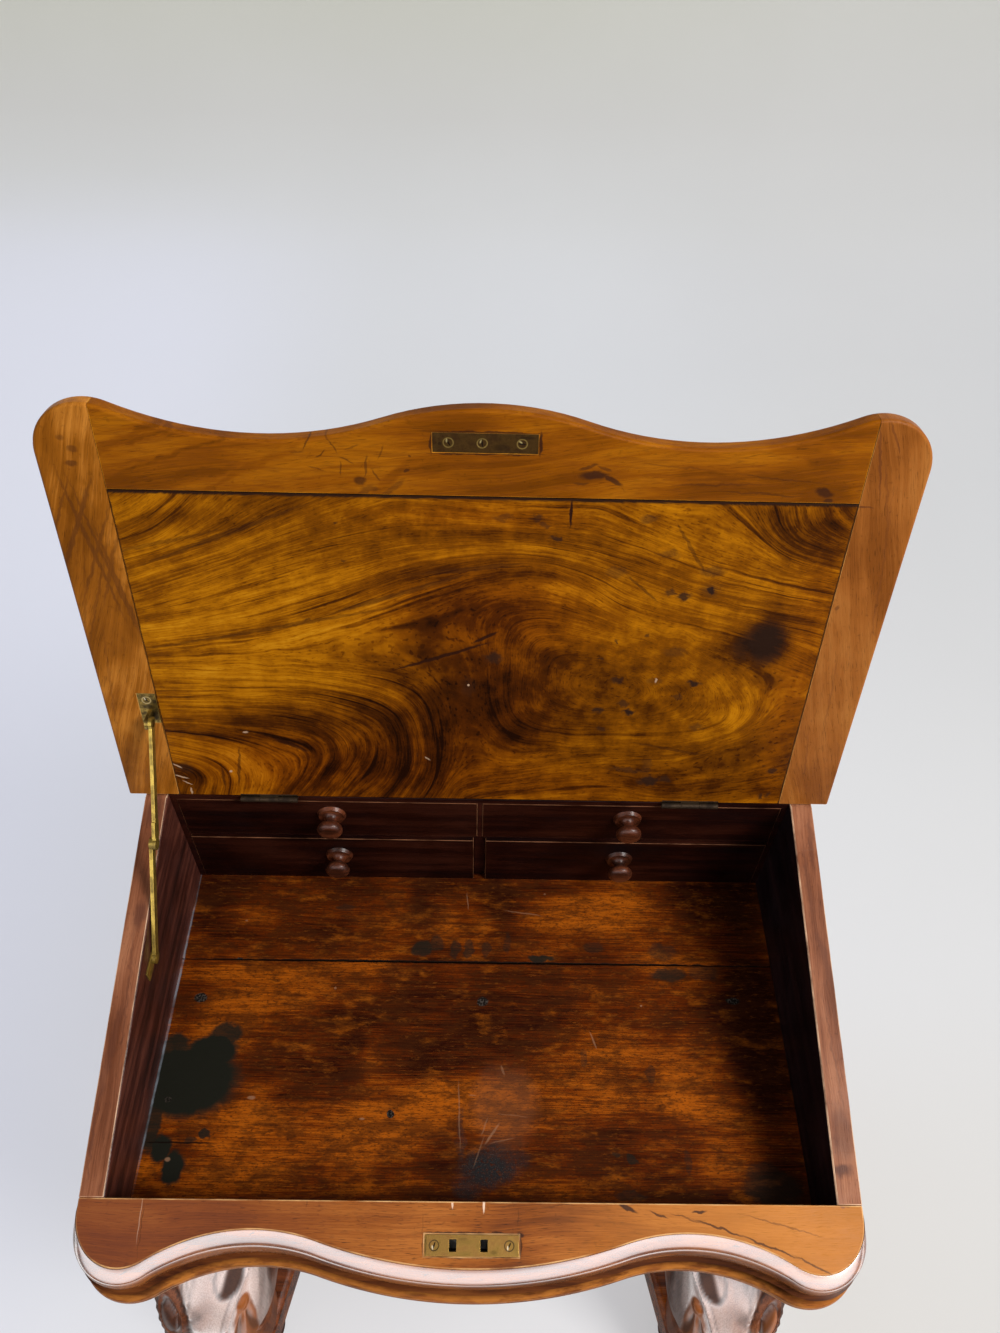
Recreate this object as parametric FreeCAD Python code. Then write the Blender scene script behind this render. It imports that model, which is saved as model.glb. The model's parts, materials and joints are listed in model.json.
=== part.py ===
import FreeCAD, Part

import math
import os

# A davenport desk: a small writing box with a sloping lid, carried on a drawer
# pedestal at the back and on two carved legs at the front. The lid stands open.
#
# The model is drawn about the lid's hinge line (y = 0, z = 0) and is moved at the
# end so that the origin is the middle of the bounding box on the floor.
# X runs to the right, Y to the back and Z up. Lengths are millimetres.

V = FreeCAD.Vector

# Heights
hinge_height = 790.0        # the case's top edge at the hinge, above the floor
case_depth_below = 141.8    # hinge line to the underside of the case
well_depth = 131.8          # hinge line to the well's floor
base_top_height = 110.0     # the top of the base above the floor
base_thickness = 46.0

# Writing case
slope_deg = 14.76
case_half_width = 273.0
side_thickness = 18.3
front_rail_least = 18.1     # thickness of the front at its hollows
case_back_reach = 190.0
back_thickness = 12.0
floor_seam_reach = 78.0
floor_seam_gap = 0.9
edge_bevel = 1.1

# Serpentine front of the case, in plan
case_peak_reach = 322.0
case_dip_set = 23.5         # a hollow behind the peaks
case_centre_set = 1.5       # the middle swelling behind the peaks
case_dip_share = 0.5495     # middle to a hollow, in half widths
case_corner_radius = 33.0

# Moulding under the case's rim
moulding_height = 52.0
moulding_projection = 8.5
moulding_lift = 3.8         # the moulding's lower edge above the case's underside

# Flat top behind the lid
top_thickness = 12.0
rail_depth = 18.0           # front of the flat top behind the hinge line
rail_thickness = 6.0
top_edge_radius = 4.0

# Lid
opening_deg = 116.0
lid_overhang = 12.4         # the lid and the flat top beyond the case's sides
lid_thickness = 15.0
lid_back = 3.8              # hinge line to the lid's back edge
lid_seat_gap = 0.3
lid_peak_overhang = 19.0    # the lid beyond the case's front, along the lid
lid_dip_overhang = 20.0
lid_centre_overhang = 21.5
lid_dip_share = 0.4975
lid_corner_extra = 2.0
lid_upper_round = 6.0
lid_lower_round = 2.5
clamp_width = 40.9
lid_rail_width = 37.1
clamp_crack = 0.35
front_crack = 0.8
leather_margin = 15.0
leather_thickness = 1.0

# Lid hinges
hinge_inset = 101.0         # a lid hinge's middle in from the case's side
hinge_length = 46.0
knuckle_radius = 2.4
pin_radius = 1.25
running_clearance = 0.05
leaf_thickness = 1.5
leaf_reach = 13.0
knuckle_gap = 0.3

# Lock and its plate, and the plate on the lid that meets it
lock_plate_length = 64.6
lock_plate_width = 13.0
lock_plate_thickness = 1.5
lock_set = 14.0             # the plate's middle behind the front, in plan
bolt_hole_x = (-13.0, 8.5)
bolt_hole_length = 5.0
bolt_hole_width = 7.5
lock_body_length = 56.0
lock_body_width = 10.0
lock_body_depth = 30.0
lock_wall = 1.2
lock_fit = 0.4
lock_bolt_height = 7.0
lock_bolt_travel = 5.0
keyhole_x = 1.3
keyhole_radius = 2.4
keyhole_drop = 23.25        # the keyhole below the lock plate's middle
link_plate_length = 66.8
link_plate_width = 13.4
link_overlap = 2.7          # the link plate sits this far beyond the lock plate
screw_head_radius = 3.1
screw_length = 9.0
screw_radius = 1.4
lock_screw_inset = 6.5
link_screw_x = (-23.3, -2.0, 23.2)

# Folding brass stay on the left wall of the well
stay_plate_thickness = 1.2
stay_bar_thickness = 2.6
stay_side_gap = 0.1
stay_bar_width = 7.0
stay_eye_radius = 5.0
stay_pin_radius = 1.6
stay_head_radius = 3.0
stay_head_thickness = 0.3
lid_pivot_reach = 88.1      # hinge line to the pivot on the lid, along the lid
lid_pivot_drop = 8.3        # that pivot below the lid's underside
wall_pivot_reach = 113.0
wall_pivot_below = 54.0
stay_knuckle_share = 0.493
stay_knuckle_offset = 1.0   # the knuckle stands off the straight line by this much
wall_plate_length = 22.0
wall_plate_height = 11.0
lid_plate_half_width = 7.0
lid_plate_back = 81.0
lid_plate_front = 110.0
sleeve_length = 13.0
sleeve_wall = 1.3

# Small drawers at the back of the well
inner_front_set = 2.7       # drawer fronts behind the hinge line
inner_back_space = 15.3     # behind the small drawers
inner_front_thickness = 8.0
inner_wall = 5.0
inner_bottom = 4.0
inner_gap = 0.35
inner_upper_bottom = 57.5   # hinge line to the lower edge of the upper fronts
inner_shelf = 7.0
inner_shelf_set = 3.0       # the shelf's edge behind the drawer fronts
guide_thickness = 4.7
upper_partition = 3.5
lower_partition = 9.6
lower_partition_set = 5.0
inner_knob_share = 0.487    # middle of the desk to a knob, in well half widths
inner_upper_knob_below = 26.0
inner_lower_knob_below = 92.0

# Turned knobs: radius of the foot, neck and head, and the length
small_knob = (12.0, 4.6, 10.5, 20.0)
large_knob = (14.0, 6.0, 14.5, 25.0)
foot_top_share, foot_end_share = 0.88, 0.14
neck_share = 0.34
neck_end_share, neck_reach_share = 1.25, 0.52
head_share = 0.74
crown_share, crown_reach_share = 0.55, 0.965
knob_spigot_radius = 3.5
knob_spigot_length = 6.0

# Pedestal
pedestal_inset = 73.0       # the pedestal's side in from the case's
pedestal_front_reach = 105.0
pedestal_board = 16.0
pedestal_plate = 12.0
pedestal_stile = 22.0
panel_thickness = 8.0
panel_rail = 46.0
dust_board = 10.0
drawer_height_shares = (0.211, 0.234, 0.261, 0.294)
side_back_space = 80.0      # from a side drawer's back to the pedestal's left side
side_front_thickness = 16.0
side_wall = 9.0
side_bottom = 6.0
side_gap = 0.8
side_knob_y_share = 0.27
cock_bead = 2.4

# Base, arms and feet
base_margin = 32.0          # the slab beyond the pedestal's side
base_front_margin = 30.0
arm_spread = 53.0           # an arm's outer side beyond the slab's
arm_root_width = 74.0
arm_back_width = 77.0
arm_front_width = 57.0
arm_root_length = 65.0
arm_front_set = 34.0        # an arm's straight end behind the case's peaks
arm_nose = 22.0
arm_inner_bow_share = (0.22, 0.18)
arm_outer_bow_share = (-0.16, -0.12)
base_edge_round = 8.0
foot_inset = 28.5           # a front foot's middle in from the arm's side
foot_front_set = 30.0
foot_back_inset = 32.0      # a back foot's middle in from the slab's sides
foot_radius = 28.5
foot_bottom_radius = 17.0
foot_collar_radius = 21.0
foot_collar_share = 0.16
foot_waist_share = 0.30
foot_swell_share = 0.62

# Carved legs: sections from the top down, swinging out from the case to the arm
leg_top_inset = 74.0
leg_foot_in = 4.5           # the leg's foot inside the middle of the turned foot
leg_radius_share = 0.30
leg_height_shares = (0.0, 0.045, 0.12, 0.22, 0.42, 0.62, 0.80, 0.92, 1.0)
leg_swing_shares = (0.0, 0.0, 0.0, 0.016, 0.242, 0.597, 0.903, 1.0, 1.0)
leg_reaches_past_foot = (8.0, 24.0, 41.0, 35.0, 4.0, -13.0, -11.0, 0.0, 2.0)
leg_half_widths = (38.0, 40.5, 41.5, 39.0, 30.0, 23.5, 23.5, 27.0, 27.0)
leg_half_depths = (34.0, 46.0, 51.0, 44.0, 28.0, 23.0, 24.0, 30.0, 28.0)

# Stationery compartment on the flat top
tray_inset = 45.0           # the box's end in from the case's side
tray_front = 72.0
tray_back_set = 6.0         # the box's back before the case's
tray_height = 92.0
tray_wall = 9.0
tray_lid_thickness = 11.0
tray_lid_overhang = 6.0
tray_divider = 4.0
tray_divider_height = 70.0
tray_divider_x_shares = (-0.5, 0.0, 0.5)
tray_hinge_inset = 78.0     # a hinge's middle in from the box's end
tray_hinge_length = 38.0

# Worked out from the sizes above
slope = math.radians(slope_deg)
lid_turn_deg = slope_deg - opening_deg
case_bottom = -case_depth_below
well_inner_x = case_half_width - side_thickness
case_dip_reach = case_peak_reach - case_dip_set
case_centre_reach = case_peak_reach - case_centre_set
well_front = case_dip_reach - front_rail_least
lid_half_width = case_half_width + lid_overhang
lid_corner_radius = case_corner_radius + lid_corner_extra
lid_peak_reach = case_peak_reach + lid_peak_overhang
lid_dip_reach = case_dip_reach + lid_dip_overhang
lid_centre_reach = case_centre_reach + lid_centre_overhang
clamp_joint_x = lid_half_width - clamp_width
front_joint_reach = lid_dip_reach - lid_rail_width
hinge_x = case_half_width - hinge_inset
lock_reach = (case_centre_reach - lock_set) / math.cos(slope)
link_reach = lock_reach + link_overlap
keyhole_below = lock_reach * math.sin(slope) + keyhole_drop
inner_drawer_depth = case_back_reach - back_thickness - inner_front_set - inner_back_space
inner_knob_x = well_inner_x * inner_knob_share
pedestal_half_width = case_half_width - pedestal_inset
side_drawer_length = 2 * pedestal_half_width - side_back_space
base_half_width = pedestal_half_width + base_margin
base_front_reach = pedestal_front_reach + base_front_margin
base_top = base_top_height - hinge_height
base_bottom = base_top - base_thickness
arm_half_width = base_half_width + arm_spread
arm_straight_back = base_front_reach + arm_root_length
arm_straight_front = case_peak_reach - arm_front_set
foot_front_x = arm_half_width - foot_inset
foot_front_reach = arm_straight_front - foot_front_set
leg_top_x = case_half_width - leg_top_inset
leg_foot_x = foot_front_x - leg_foot_in
tray_half_width = case_half_width - tray_inset
tray_back = case_back_reach - tray_back_set
tray_hinge_x = tray_half_width - tray_hinge_inset
floor_level = -hinge_height
overrun = case_half_width
front_reach = foot_front_reach + max(r + d for r, d in zip(leg_reaches_past_foot,
                                                          leg_half_depths))
back_reach = case_back_reach + lid_overhang
hinge_y = (front_reach - back_reach) / 2


def box(x0, x1, y0, y1, z0, z1):
    """A block between two corners."""
    return Part.makeBox(x1 - x0, y1 - y0, z1 - z0, V(x0, y0, z0))


def prism(points, along):
    """A flat outline of corner points, drawn out along a vector."""
    wire = Part.makePolygon(points + [points[0]])
    return Part.Face(wire).extrude(along)


def mirrored(shape):
    """The same shape on the other side of the desk."""
    return shape.mirror(V(0, 0, 0), V(1, 0, 0))


def both_sides(shape):
    """A shape and its mirror image, as one group."""
    return Part.makeCompound([shape, mirrored(shape)])


def group(shapes):
    """Every solid of some shapes, as one group."""
    solids = [s for shape in shapes for s in shape.Solids]
    return Part.makeCompound(solids) if len(solids) > 1 else solids[0]


def tilt(shape, degrees):
    """A copy turned about the hinge line."""
    turned = shape.copy()
    turned.rotate(V(0, 0, 0), V(1, 0, 0), degrees)
    return turned


def on_slope(shape):
    """A shape drawn flat, laid on the case's sloping rim."""
    return tilt(shape, slope_deg)


def on_lid(shape):
    """A shape drawn flat, carried to the open lid."""
    return tilt(shape, lid_turn_deg)


def arc(centre, radius, start, end):
    """A plan arc from one angle to another, in radians."""
    places = [start, (start + end) / 2, end]
    points = [V(centre[0] + radius * math.cos(a), centre[1] + radius * math.sin(a), 0)
              for a in places]
    return Part.Arc(*points).toShape()


def serpentine(half_width, peak, corner, dip_share, dip, centre, grow=0.0):
    """The wavy front outline, left to right, as arcs that meet without a corner.

    A round corner, a hollow, the swelling middle and the same mirrored. The radii
    follow from the reach of each peak and hollow; grow moves the outline outwards.
    """
    dip_x = half_width * dip_share
    fall = centre - dip
    rise = peak - dip
    side = half_width - corner - dip_x
    hollow = (side ** 2 + rise ** 2) / (2 * rise) - corner
    middle = (dip_x ** 2 + fall ** 2) / (2 * fall) - hollow
    c_mid = (0, -(centre - middle))
    c_dip = (dip_x, -(dip + hollow))
    c_end = (half_width - corner, -(peak - corner))
    to_mid = math.atan2(c_mid[1] - c_dip[1], c_mid[0] - c_dip[0])
    to_end = math.atan2(c_end[1] - c_dip[1], c_end[0] - c_dip[0])
    down = math.pi / 2
    right = [
        arc(c_dip, hollow - grow, to_mid, to_end),
        arc(c_end, corner + grow, to_end - math.pi, 0),
    ]
    left = [edge.mirror(V(0, 0, 0), V(1, 0, 0)) for edge in reversed(right)]
    swell = arc(c_mid, middle + grow, -down - (to_mid - down), to_mid - math.pi)
    return left + [swell] + right


def front_edges(grow=0.0):
    """The case's serpentine outline."""
    return serpentine(case_half_width, case_peak_reach, case_corner_radius, case_dip_share,
                      case_dip_reach, case_centre_reach, grow)


def closed_front(edges, half_width, side_end, back):
    """The serpentine closed by two sides and a straight back, as a face."""
    corners = [V(half_width, -side_end, 0), V(half_width, back, 0),
               V(-half_width, back, 0), V(-half_width, -side_end, 0)]
    sides = [Part.LineSegment(a, b).toShape() for a, b in zip(corners, corners[1:])]
    wire = Part.Wire(Part.__sortEdges__(edges + sides))
    return Part.Face(wire)


def above_slope(half_width):
    """All the space over the case's sloping rim."""
    far = case_peak_reach + overrun
    points = [V(-half_width, overrun, 0), V(-half_width, 0, 0),
              V(-half_width, -far, -far * math.tan(slope)),
              V(-half_width, -far, overrun), V(-half_width, overrun, overrun)]
    return prism(points, V(2 * half_width, 0, 0))


# Writing case

def front_rail():
    """The thick serpentine front of the case, cut for the lock and the key."""
    face = closed_front(front_edges(), case_half_width,
                        case_peak_reach - case_corner_radius, -well_front)
    rail = face.extrude(V(0, 0, case_depth_below))
    rail.translate(V(0, 0, case_bottom))
    rail = rail.cut(above_slope(case_half_width + overrun))
    rail = rail.cut(plate_blank(lock_plate_length, lock_plate_width, lock_reach))
    rail = rail.cut(lock_pocket())
    rail = rail.cut(keyway(case_centre_reach + moulding_projection))
    return rail.cut(lock_screw_set(screw_radius + running_clearance,
                                   screw_head_radius + running_clearance))


def plate_blank(length, width, reach):
    """A thin plate let into the sloping rim."""
    flat = box(-length / 2, length / 2, -reach - width / 2, -reach + width / 2,
               -lock_plate_thickness, 0)
    return on_slope(flat)


def lock_pocket():
    """The mortise in the rail that takes the lock."""
    half = lock_body_length / 2 + lock_fit
    wide = lock_body_width / 2 + lock_fit
    low = lock_plate_thickness + lock_body_depth + lock_fit
    return on_slope(box(-half, half, -lock_reach - wide, -lock_reach + wide, -low, 0))


def keyway(reach):
    """The round hole for the key, from the front face to the lock."""
    start = V(keyhole_x, -lock_reach * math.cos(slope), -keyhole_below)
    return Part.makeCylinder(keyhole_radius, reach, start, V(0, -1, 0))


def moulding_profile():
    """Section of the rim moulding, out from the case and up from its lower edge.

    A bold round from the top down, a groove and a bead at the foot.
    Each point is a share of the projection and of the height.
    """
    top_share = (0.0, 1.0)
    shoulder_mid_share = (0.55, 0.93)
    shoulder_end_share = (0.80, 0.80)
    round_mid_share = (0.82, 0.62)
    round_end_share = (0.62, 0.40)
    groove_top_share = (0.34, 0.38)
    groove_foot_share = (0.34, 0.32)
    bead_mid_share = (1.0, 0.17)
    bead_end_share = (0.52, 0.0)
    foot_share = (0.0, 0.0)

    def at(share):
        low = case_bottom + moulding_lift
        return V(-share[0] * moulding_projection, 0, low + share[1] * moulding_height)

    def line(start, end):
        return Part.LineSegment(at(start), at(end)).toShape()

    def arc(start, middle, end):
        return Part.Arc(at(start), at(middle), at(end)).toShape()

    return Part.Wire([
        arc(top_share, shoulder_mid_share, shoulder_end_share),
        arc(shoulder_end_share, round_mid_share, round_end_share),
        line(round_end_share, groove_top_share),
        line(groove_top_share, groove_foot_share),
        arc(groove_foot_share, bead_mid_share, bead_end_share),
        line(bead_end_share, foot_share),
        line(foot_share, top_share),
    ])


def front_moulding():
    """The moulding carried round the serpentine front."""
    side_end = case_peak_reach - case_corner_radius
    section = moulding_profile()
    section.translate(V(-case_half_width, -side_end, 0))
    path = Part.Wire(Part.__sortEdges__(front_edges()))
    swept = path.makePipeShell([section], True, False)
    solid = Part.Solid(Part.Shell(swept.Faces))
    if solid.Volume < 0:
        solid.reverse()
    return solid.cut(keyway(case_centre_reach))


def side_mouldings():
    """The same moulding along both sides of the case."""
    side_end = case_peak_reach - case_corner_radius
    section = Part.Face(moulding_profile())
    section.translate(V(-case_half_width, -side_end, 0))
    return both_sides(section.extrude(V(0, side_end + case_back_reach, 0)))


def case_side_left():
    """The left wall, sloping at the front and stepped down under the flat top."""
    top = -top_thickness
    x = -case_half_width
    rim_front = -well_front * math.tan(slope)
    points = [V(x, case_back_reach, case_bottom), V(x, case_back_reach, top),
              V(x, rail_depth, top), V(x, rail_depth, 0), V(x, 0, 0),
              V(x, -well_front, rim_front), V(x, -well_front, case_bottom)]
    wall = prism(points, V(side_thickness, 0, 0))
    edges = [e for e in wall.Edges if rim_edge(e)]
    return wall.makeChamfer(edge_bevel, edges)


def rim_edge(edge):
    """True for the inner upper edge along the slope."""
    ends = [v.Point for v in edge.Vertexes]
    inner = all(abs(p.x + well_inner_x) < running_clearance for p in ends)
    return inner and all(abs(p.z - p.y * math.tan(slope)) < running_clearance
                         and p.y < running_clearance for p in ends)


def floor_board(front, back):
    """A board of the case's floor, between the side walls."""
    return box(-well_inner_x, well_inner_x, front, back, case_bottom, -well_depth)


def case_back():
    """The back wall of the case, between the sides and under the flat top."""
    return box(-well_inner_x, well_inner_x, case_back_reach - back_thickness,
               case_back_reach, -well_depth, -top_thickness)


def hinge_rail():
    """The thin rail over the small drawers that carries the lid's hinges."""
    rail = box(-well_inner_x, well_inner_x, inner_front_set, rail_depth,
               -rail_thickness, 0)
    for side in (-1, 1):
        rail = rail.cut(case_leaf_space(side * hinge_x))
    return rail


def flat_top_blank():
    """The flat top before its edge is rounded."""
    return box(-lid_half_width, lid_half_width, rail_depth, back_reach,
               -top_thickness, 0)


def flat_top():
    """The flat top behind the lid, with its edge rounded on three sides."""
    top = flat_top_blank()
    edges = [e for e in top.Edges if outer_edge(e, lid_half_width)]
    return top.makeFillet(top_edge_radius, edges)


def outer_edge(edge, half):
    """True for the long edges at the two ends and the back of the flat top."""
    ends = [v.Point for v in edge.Vertexes]
    level = abs(ends[0].z - ends[1].z) < running_clearance
    at_end = all(abs(abs(p.x) - half) < running_clearance for p in ends)
    at_back = all(abs(p.y - back_reach) < running_clearance for p in ends)
    across = abs(ends[0].x - ends[1].x) > half
    return level and (at_back if across else at_end)


def drawer_frame():
    """Guides, shelf and partition that house the four small drawers."""
    back = case_back_reach - back_thickness
    shelf_top = -inner_upper_bottom - inner_gap
    shelf_low = shelf_top - inner_shelf
    guide_in = well_inner_x - guide_thickness
    guide = box(-well_inner_x, -guide_in, inner_front_set, back,
                -well_depth, -rail_thickness)
    shelf = box(-guide_in, guide_in, inner_front_set + inner_shelf_set, back,
                shelf_low, shelf_top)
    upper = box(-upper_partition / 2, upper_partition / 2, inner_front_set, back,
                shelf_top, -rail_thickness)
    lower = box(-lower_partition / 2, lower_partition / 2,
                inner_front_set + lower_partition_set, back, -well_depth, shelf_low)
    guide = guide.cut(flat_top_blank())
    upper = upper.cut(flat_top_blank())
    return group([both_sides(guide), shelf, upper, lower])


# Lid

def lid_slab():
    """The whole lid drawn flat, with its rim rounded above and below."""
    edges = serpentine(lid_half_width, lid_peak_reach, lid_corner_radius, lid_dip_share,
                       lid_dip_reach, lid_centre_reach)
    face = closed_front(edges, lid_half_width, lid_peak_reach - lid_corner_radius,
                        -lid_back)
    slab = face.extrude(V(0, 0, lid_thickness))
    slab = slab.makeFillet(lid_upper_round, level_rim(slab, lid_thickness))
    slab = slab.makeFillet(lid_lower_round, level_rim(slab, 0))
    slab.translate(V(0, 0, lid_seat_gap))
    return slab


def level_rim(slab, height):
    """The rim edges at one height, but not the straight back."""
    found = []
    for edge in slab.Edges:
        bounds = edge.BoundBox
        level = abs(bounds.ZMin - height) + abs(bounds.ZMax - height)
        back = bounds.YMin > -lid_back - lid_upper_round
        if level < running_clearance and not back:
            found.append(edge)
    return found


def lid_zone(x0, x1, reach0, reach1):
    """The space of one board of the lid, through its whole thickness."""
    return box(x0, x1, -reach1, -reach0, -lid_thickness, 2 * lid_thickness)


def lid_panel(slab):
    """The figured middle board, recessed for the leather and the hinges."""
    zone = lid_zone(-clamp_joint_x, clamp_joint_x, 0, front_joint_reach)
    board = slab.common(zone).cut(leather_blank())
    for side in (-1, 1):
        board = board.cut(lid_leaf_space(side * hinge_x))
    return on_lid(board.cut(lid_plate_blank()))


def lid_clamp(slab, side):
    """The board across one end of the lid."""
    inner = clamp_joint_x + clamp_crack
    outer = lid_half_width + overrun
    low, high = (-outer, -inner) if side < 0 else (inner, outer)
    board = slab.common(lid_zone(low, high, 0, lid_peak_reach + overrun))
    return on_lid(board.cut(lid_plate_blank()))


def lid_front_rail(slab):
    """The serpentine board along the lid's front, recessed for the link plate."""
    zone = lid_zone(-clamp_joint_x, clamp_joint_x, front_joint_reach + front_crack,
                    lid_peak_reach + overrun)
    board = slab.common(zone).cut(link_blank())
    return on_lid(board.cut(link_screw_set(screw_radius + running_clearance,
                                           screw_head_radius + running_clearance)))


def leather_blank():
    """The writing surface let into the lid's outer face."""
    top = lid_seat_gap + lid_thickness
    return box(-clamp_joint_x + leather_margin, clamp_joint_x - leather_margin,
               -front_joint_reach + leather_margin, -lid_back - leather_margin,
               top - leather_thickness, top)


def link_blank():
    """The lock's mating plate, let into the lid's underside."""
    return box(-link_plate_length / 2, link_plate_length / 2,
               -link_reach - link_plate_width / 2, -link_reach + link_plate_width / 2,
               lid_seat_gap, lid_seat_gap + lock_plate_thickness)


def link_plate():
    """The mating plate, drilled for its three screws."""
    return on_lid(link_blank().cut(link_screw_set(
        screw_radius + running_clearance, screw_head_radius + running_clearance)))


# Screws

def screw(shank, head):
    """A countersunk screw standing on its point, head upwards at z = 0."""
    cone = Part.makeCone(shank, head, head - shank, V(0, 0, shank - head))
    return cone.fuse(Part.makeCylinder(shank, screw_length - (head - shank),
                                       V(0, 0, -screw_length)))


def lock_screw_set(shank, head):
    """The two screws that hold the lock plate, laid on the slope."""
    x = lock_plate_length / 2 - lock_screw_inset
    screws = []
    for place in (-x, x):
        one = screw(shank, head)
        one.translate(V(place, -lock_reach, 0))
        screws.append(on_slope(one))
    return group(screws)


def link_screw_set(shank, head):
    """The three screws of the link plate, drawn flat with their heads downwards."""
    screws = []
    for place in link_screw_x:
        one = screw(shank, head)
        one.rotate(V(0, 0, 0), V(1, 0, 0), 180)
        one.translate(V(place, -link_reach, lid_seat_gap))
        screws.append(one)
    return group(screws)


# Lock

def lock_plate():
    """The brass plate on the rim, with its two square holes."""
    plate = plate_blank(lock_plate_length, lock_plate_width, lock_reach)
    for x in bolt_hole_x:
        hole = box(x - bolt_hole_length / 2, x + bolt_hole_length / 2,
                   -lock_reach - bolt_hole_width / 2, -lock_reach + bolt_hole_width / 2,
                   -2 * lock_plate_thickness, lock_plate_thickness)
        plate = plate.cut(on_slope(hole))
    return plate.cut(lock_screw_set(screw_radius + running_clearance,
                                    screw_head_radius + running_clearance))


def lock_body():
    """The lock's brass box, open under the plate's holes and at the keyhole."""
    half = lock_body_length / 2
    wide = lock_body_width / 2
    top = -lock_plate_thickness
    body = box(-half, half, -lock_reach - wide, -lock_reach + wide,
               top - lock_body_depth, top)
    inside = box(-half + lock_wall, half - lock_wall, -lock_reach - wide + lock_wall,
                 -lock_reach + wide - lock_wall,
                 top - lock_body_depth + lock_wall, top)
    body = on_slope(body.cut(inside)).cut(keyway(case_centre_reach))
    return body.cut(lock_screw_set(screw_radius + running_clearance,
                                   screw_head_radius + running_clearance))


def lock_bolt():
    """The sliding bar that catches the links, resting low in the lock's box."""
    half = lock_body_length / 2 - lock_wall - lock_fit
    wide = lock_body_width / 2 - lock_wall - lock_fit
    low = -lock_plate_thickness - lock_body_depth + lock_wall
    bar = box(-half, half - lock_bolt_travel, -lock_reach - wide, -lock_reach + wide,
              low, low + lock_bolt_height)
    return on_slope(bar)


# Lid hinges

def barrel(x0, x1, radius):
    """A round bar on the hinge line."""
    return Part.makeCylinder(radius, x1 - x0, V(x0, 0, 0), V(1, 0, 0))


def outer_thirds(x, length):
    """The stretches of a hinge at x that belong to its fixed leaf."""
    return [(x - length / 2, x - length / 6), (x + length / 6, x + length / 2)]


def middle_third(x, length):
    """The stretch of a hinge at x that belongs to its moving leaf."""
    half = length / 6 - knuckle_gap
    return x - half, x + half


def case_leaf_space(x):
    """The recess in the hinge rail for one leaf."""
    return box(x - hinge_length / 2, x + hinge_length / 2, 0,
               inner_front_set + leaf_reach, -leaf_thickness, overrun)


def case_leaf(x):
    """The fixed leaf, flush in the rail, with its two outer knuckles."""
    leaf = box(x - hinge_length / 2, x + hinge_length / 2, inner_front_set,
               inner_front_set + leaf_reach, -leaf_thickness, 0)
    for x0, x1 in outer_thirds(x, hinge_length):
        leaf = leaf.fuse(barrel(x0, x1, knuckle_radius))
        leaf = leaf.fuse(box(x0, x1, 0, inner_front_set, -leaf_thickness, 0))
    return leaf.cut(barrel(x - hinge_length, x + hinge_length,
                           pin_radius + running_clearance))


def lid_leaf_space(x):
    """The recess in the lid's back edge for one leaf."""
    return box(x - hinge_length / 2, x + hinge_length / 2, -lid_back - leaf_thickness,
               0, -lid_thickness, lid_seat_gap + leaf_reach)


def lid_leaf(x):
    """The moving leaf on the lid's back edge, with the middle knuckle."""
    x0, x1 = middle_third(x, hinge_length)
    leaf = box(x - hinge_length / 2, x + hinge_length / 2, -lid_back - leaf_thickness,
               -lid_back, lid_seat_gap, lid_seat_gap + leaf_reach)
    web = box(x0, x1, -lid_back - leaf_thickness, 0,
              lid_seat_gap, lid_seat_gap + leaf_thickness)
    leaf = leaf.fuse(web).fuse(barrel(x0, x1, knuckle_radius))
    leaf = leaf.cut(barrel(x - hinge_length, x + hinge_length,
                           pin_radius + running_clearance))
    return on_lid(leaf)


def hinge_pins():
    """The pins of both lid hinges."""
    half = hinge_length / 2
    return group([barrel(x - half, x + half, pin_radius) for x in (-hinge_x, hinge_x)])


# Stay

def stay_points():
    """The three pivots of the open stay, each as (y, z)."""
    turn = math.radians(lid_turn_deg)
    reach, drop = lid_pivot_reach, -lid_pivot_drop
    lid = (-reach * math.cos(turn) - drop * math.sin(turn),
           -reach * math.sin(turn) + drop * math.cos(turn))
    wall = (-wall_pivot_reach, -wall_pivot_below)
    run = (lid[0] - wall[0], lid[1] - wall[1])
    length = math.hypot(run[0], run[1])
    share, off = stay_knuckle_share, stay_knuckle_offset / length
    knuckle = (wall[0] + share * run[0] + off * run[1],
               wall[1] + share * run[1] - off * run[0])
    return {"wall": wall, "knuckle": knuckle, "lid": lid}


def stay_layers():
    """Where the wall plate, the lower bar and the upper bar lie along x."""
    plate = -well_inner_x
    lower = plate + stay_plate_thickness + stay_side_gap
    upper = lower + stay_bar_thickness + stay_side_gap
    return {"plate": plate, "lower": lower, "upper": upper}


def disc(x, thickness, centre, radius):
    """A flat disc facing sideways."""
    return Part.makeCylinder(radius, thickness, V(x, centre[0], centre[1]), V(1, 0, 0))


def bar_between(x, start, end, width):
    """A flat bar between two pivots, without its eyes."""
    length = math.hypot(end[0] - start[0], end[1] - start[1])
    bar = box(x, x + stay_bar_thickness, 0, length, -width / 2, width / 2)
    angle = math.degrees(math.atan2(end[1] - start[1], end[0] - start[0]))
    bar.rotate(V(0, 0, 0), V(1, 0, 0), angle)
    bar.translate(V(0, start[0], start[1]))
    return bar


def stay_bar(x, start, end):
    """A bar of the stay with an eye at each end."""
    bar = bar_between(x, start, end, stay_bar_width)
    for centre in (start, end):
        bar = bar.fuse(disc(x, stay_bar_thickness, centre, stay_eye_radius))
    return bar


def pin_through(x, thickness, centre):
    """A rivet from a plate at x through a bar of the given thickness, with a head."""
    reach = thickness + 2 * stay_side_gap
    shank = disc(x, reach, centre, stay_pin_radius)
    return shank.fuse(disc(x + reach, stay_head_thickness, centre, stay_head_radius))


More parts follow.
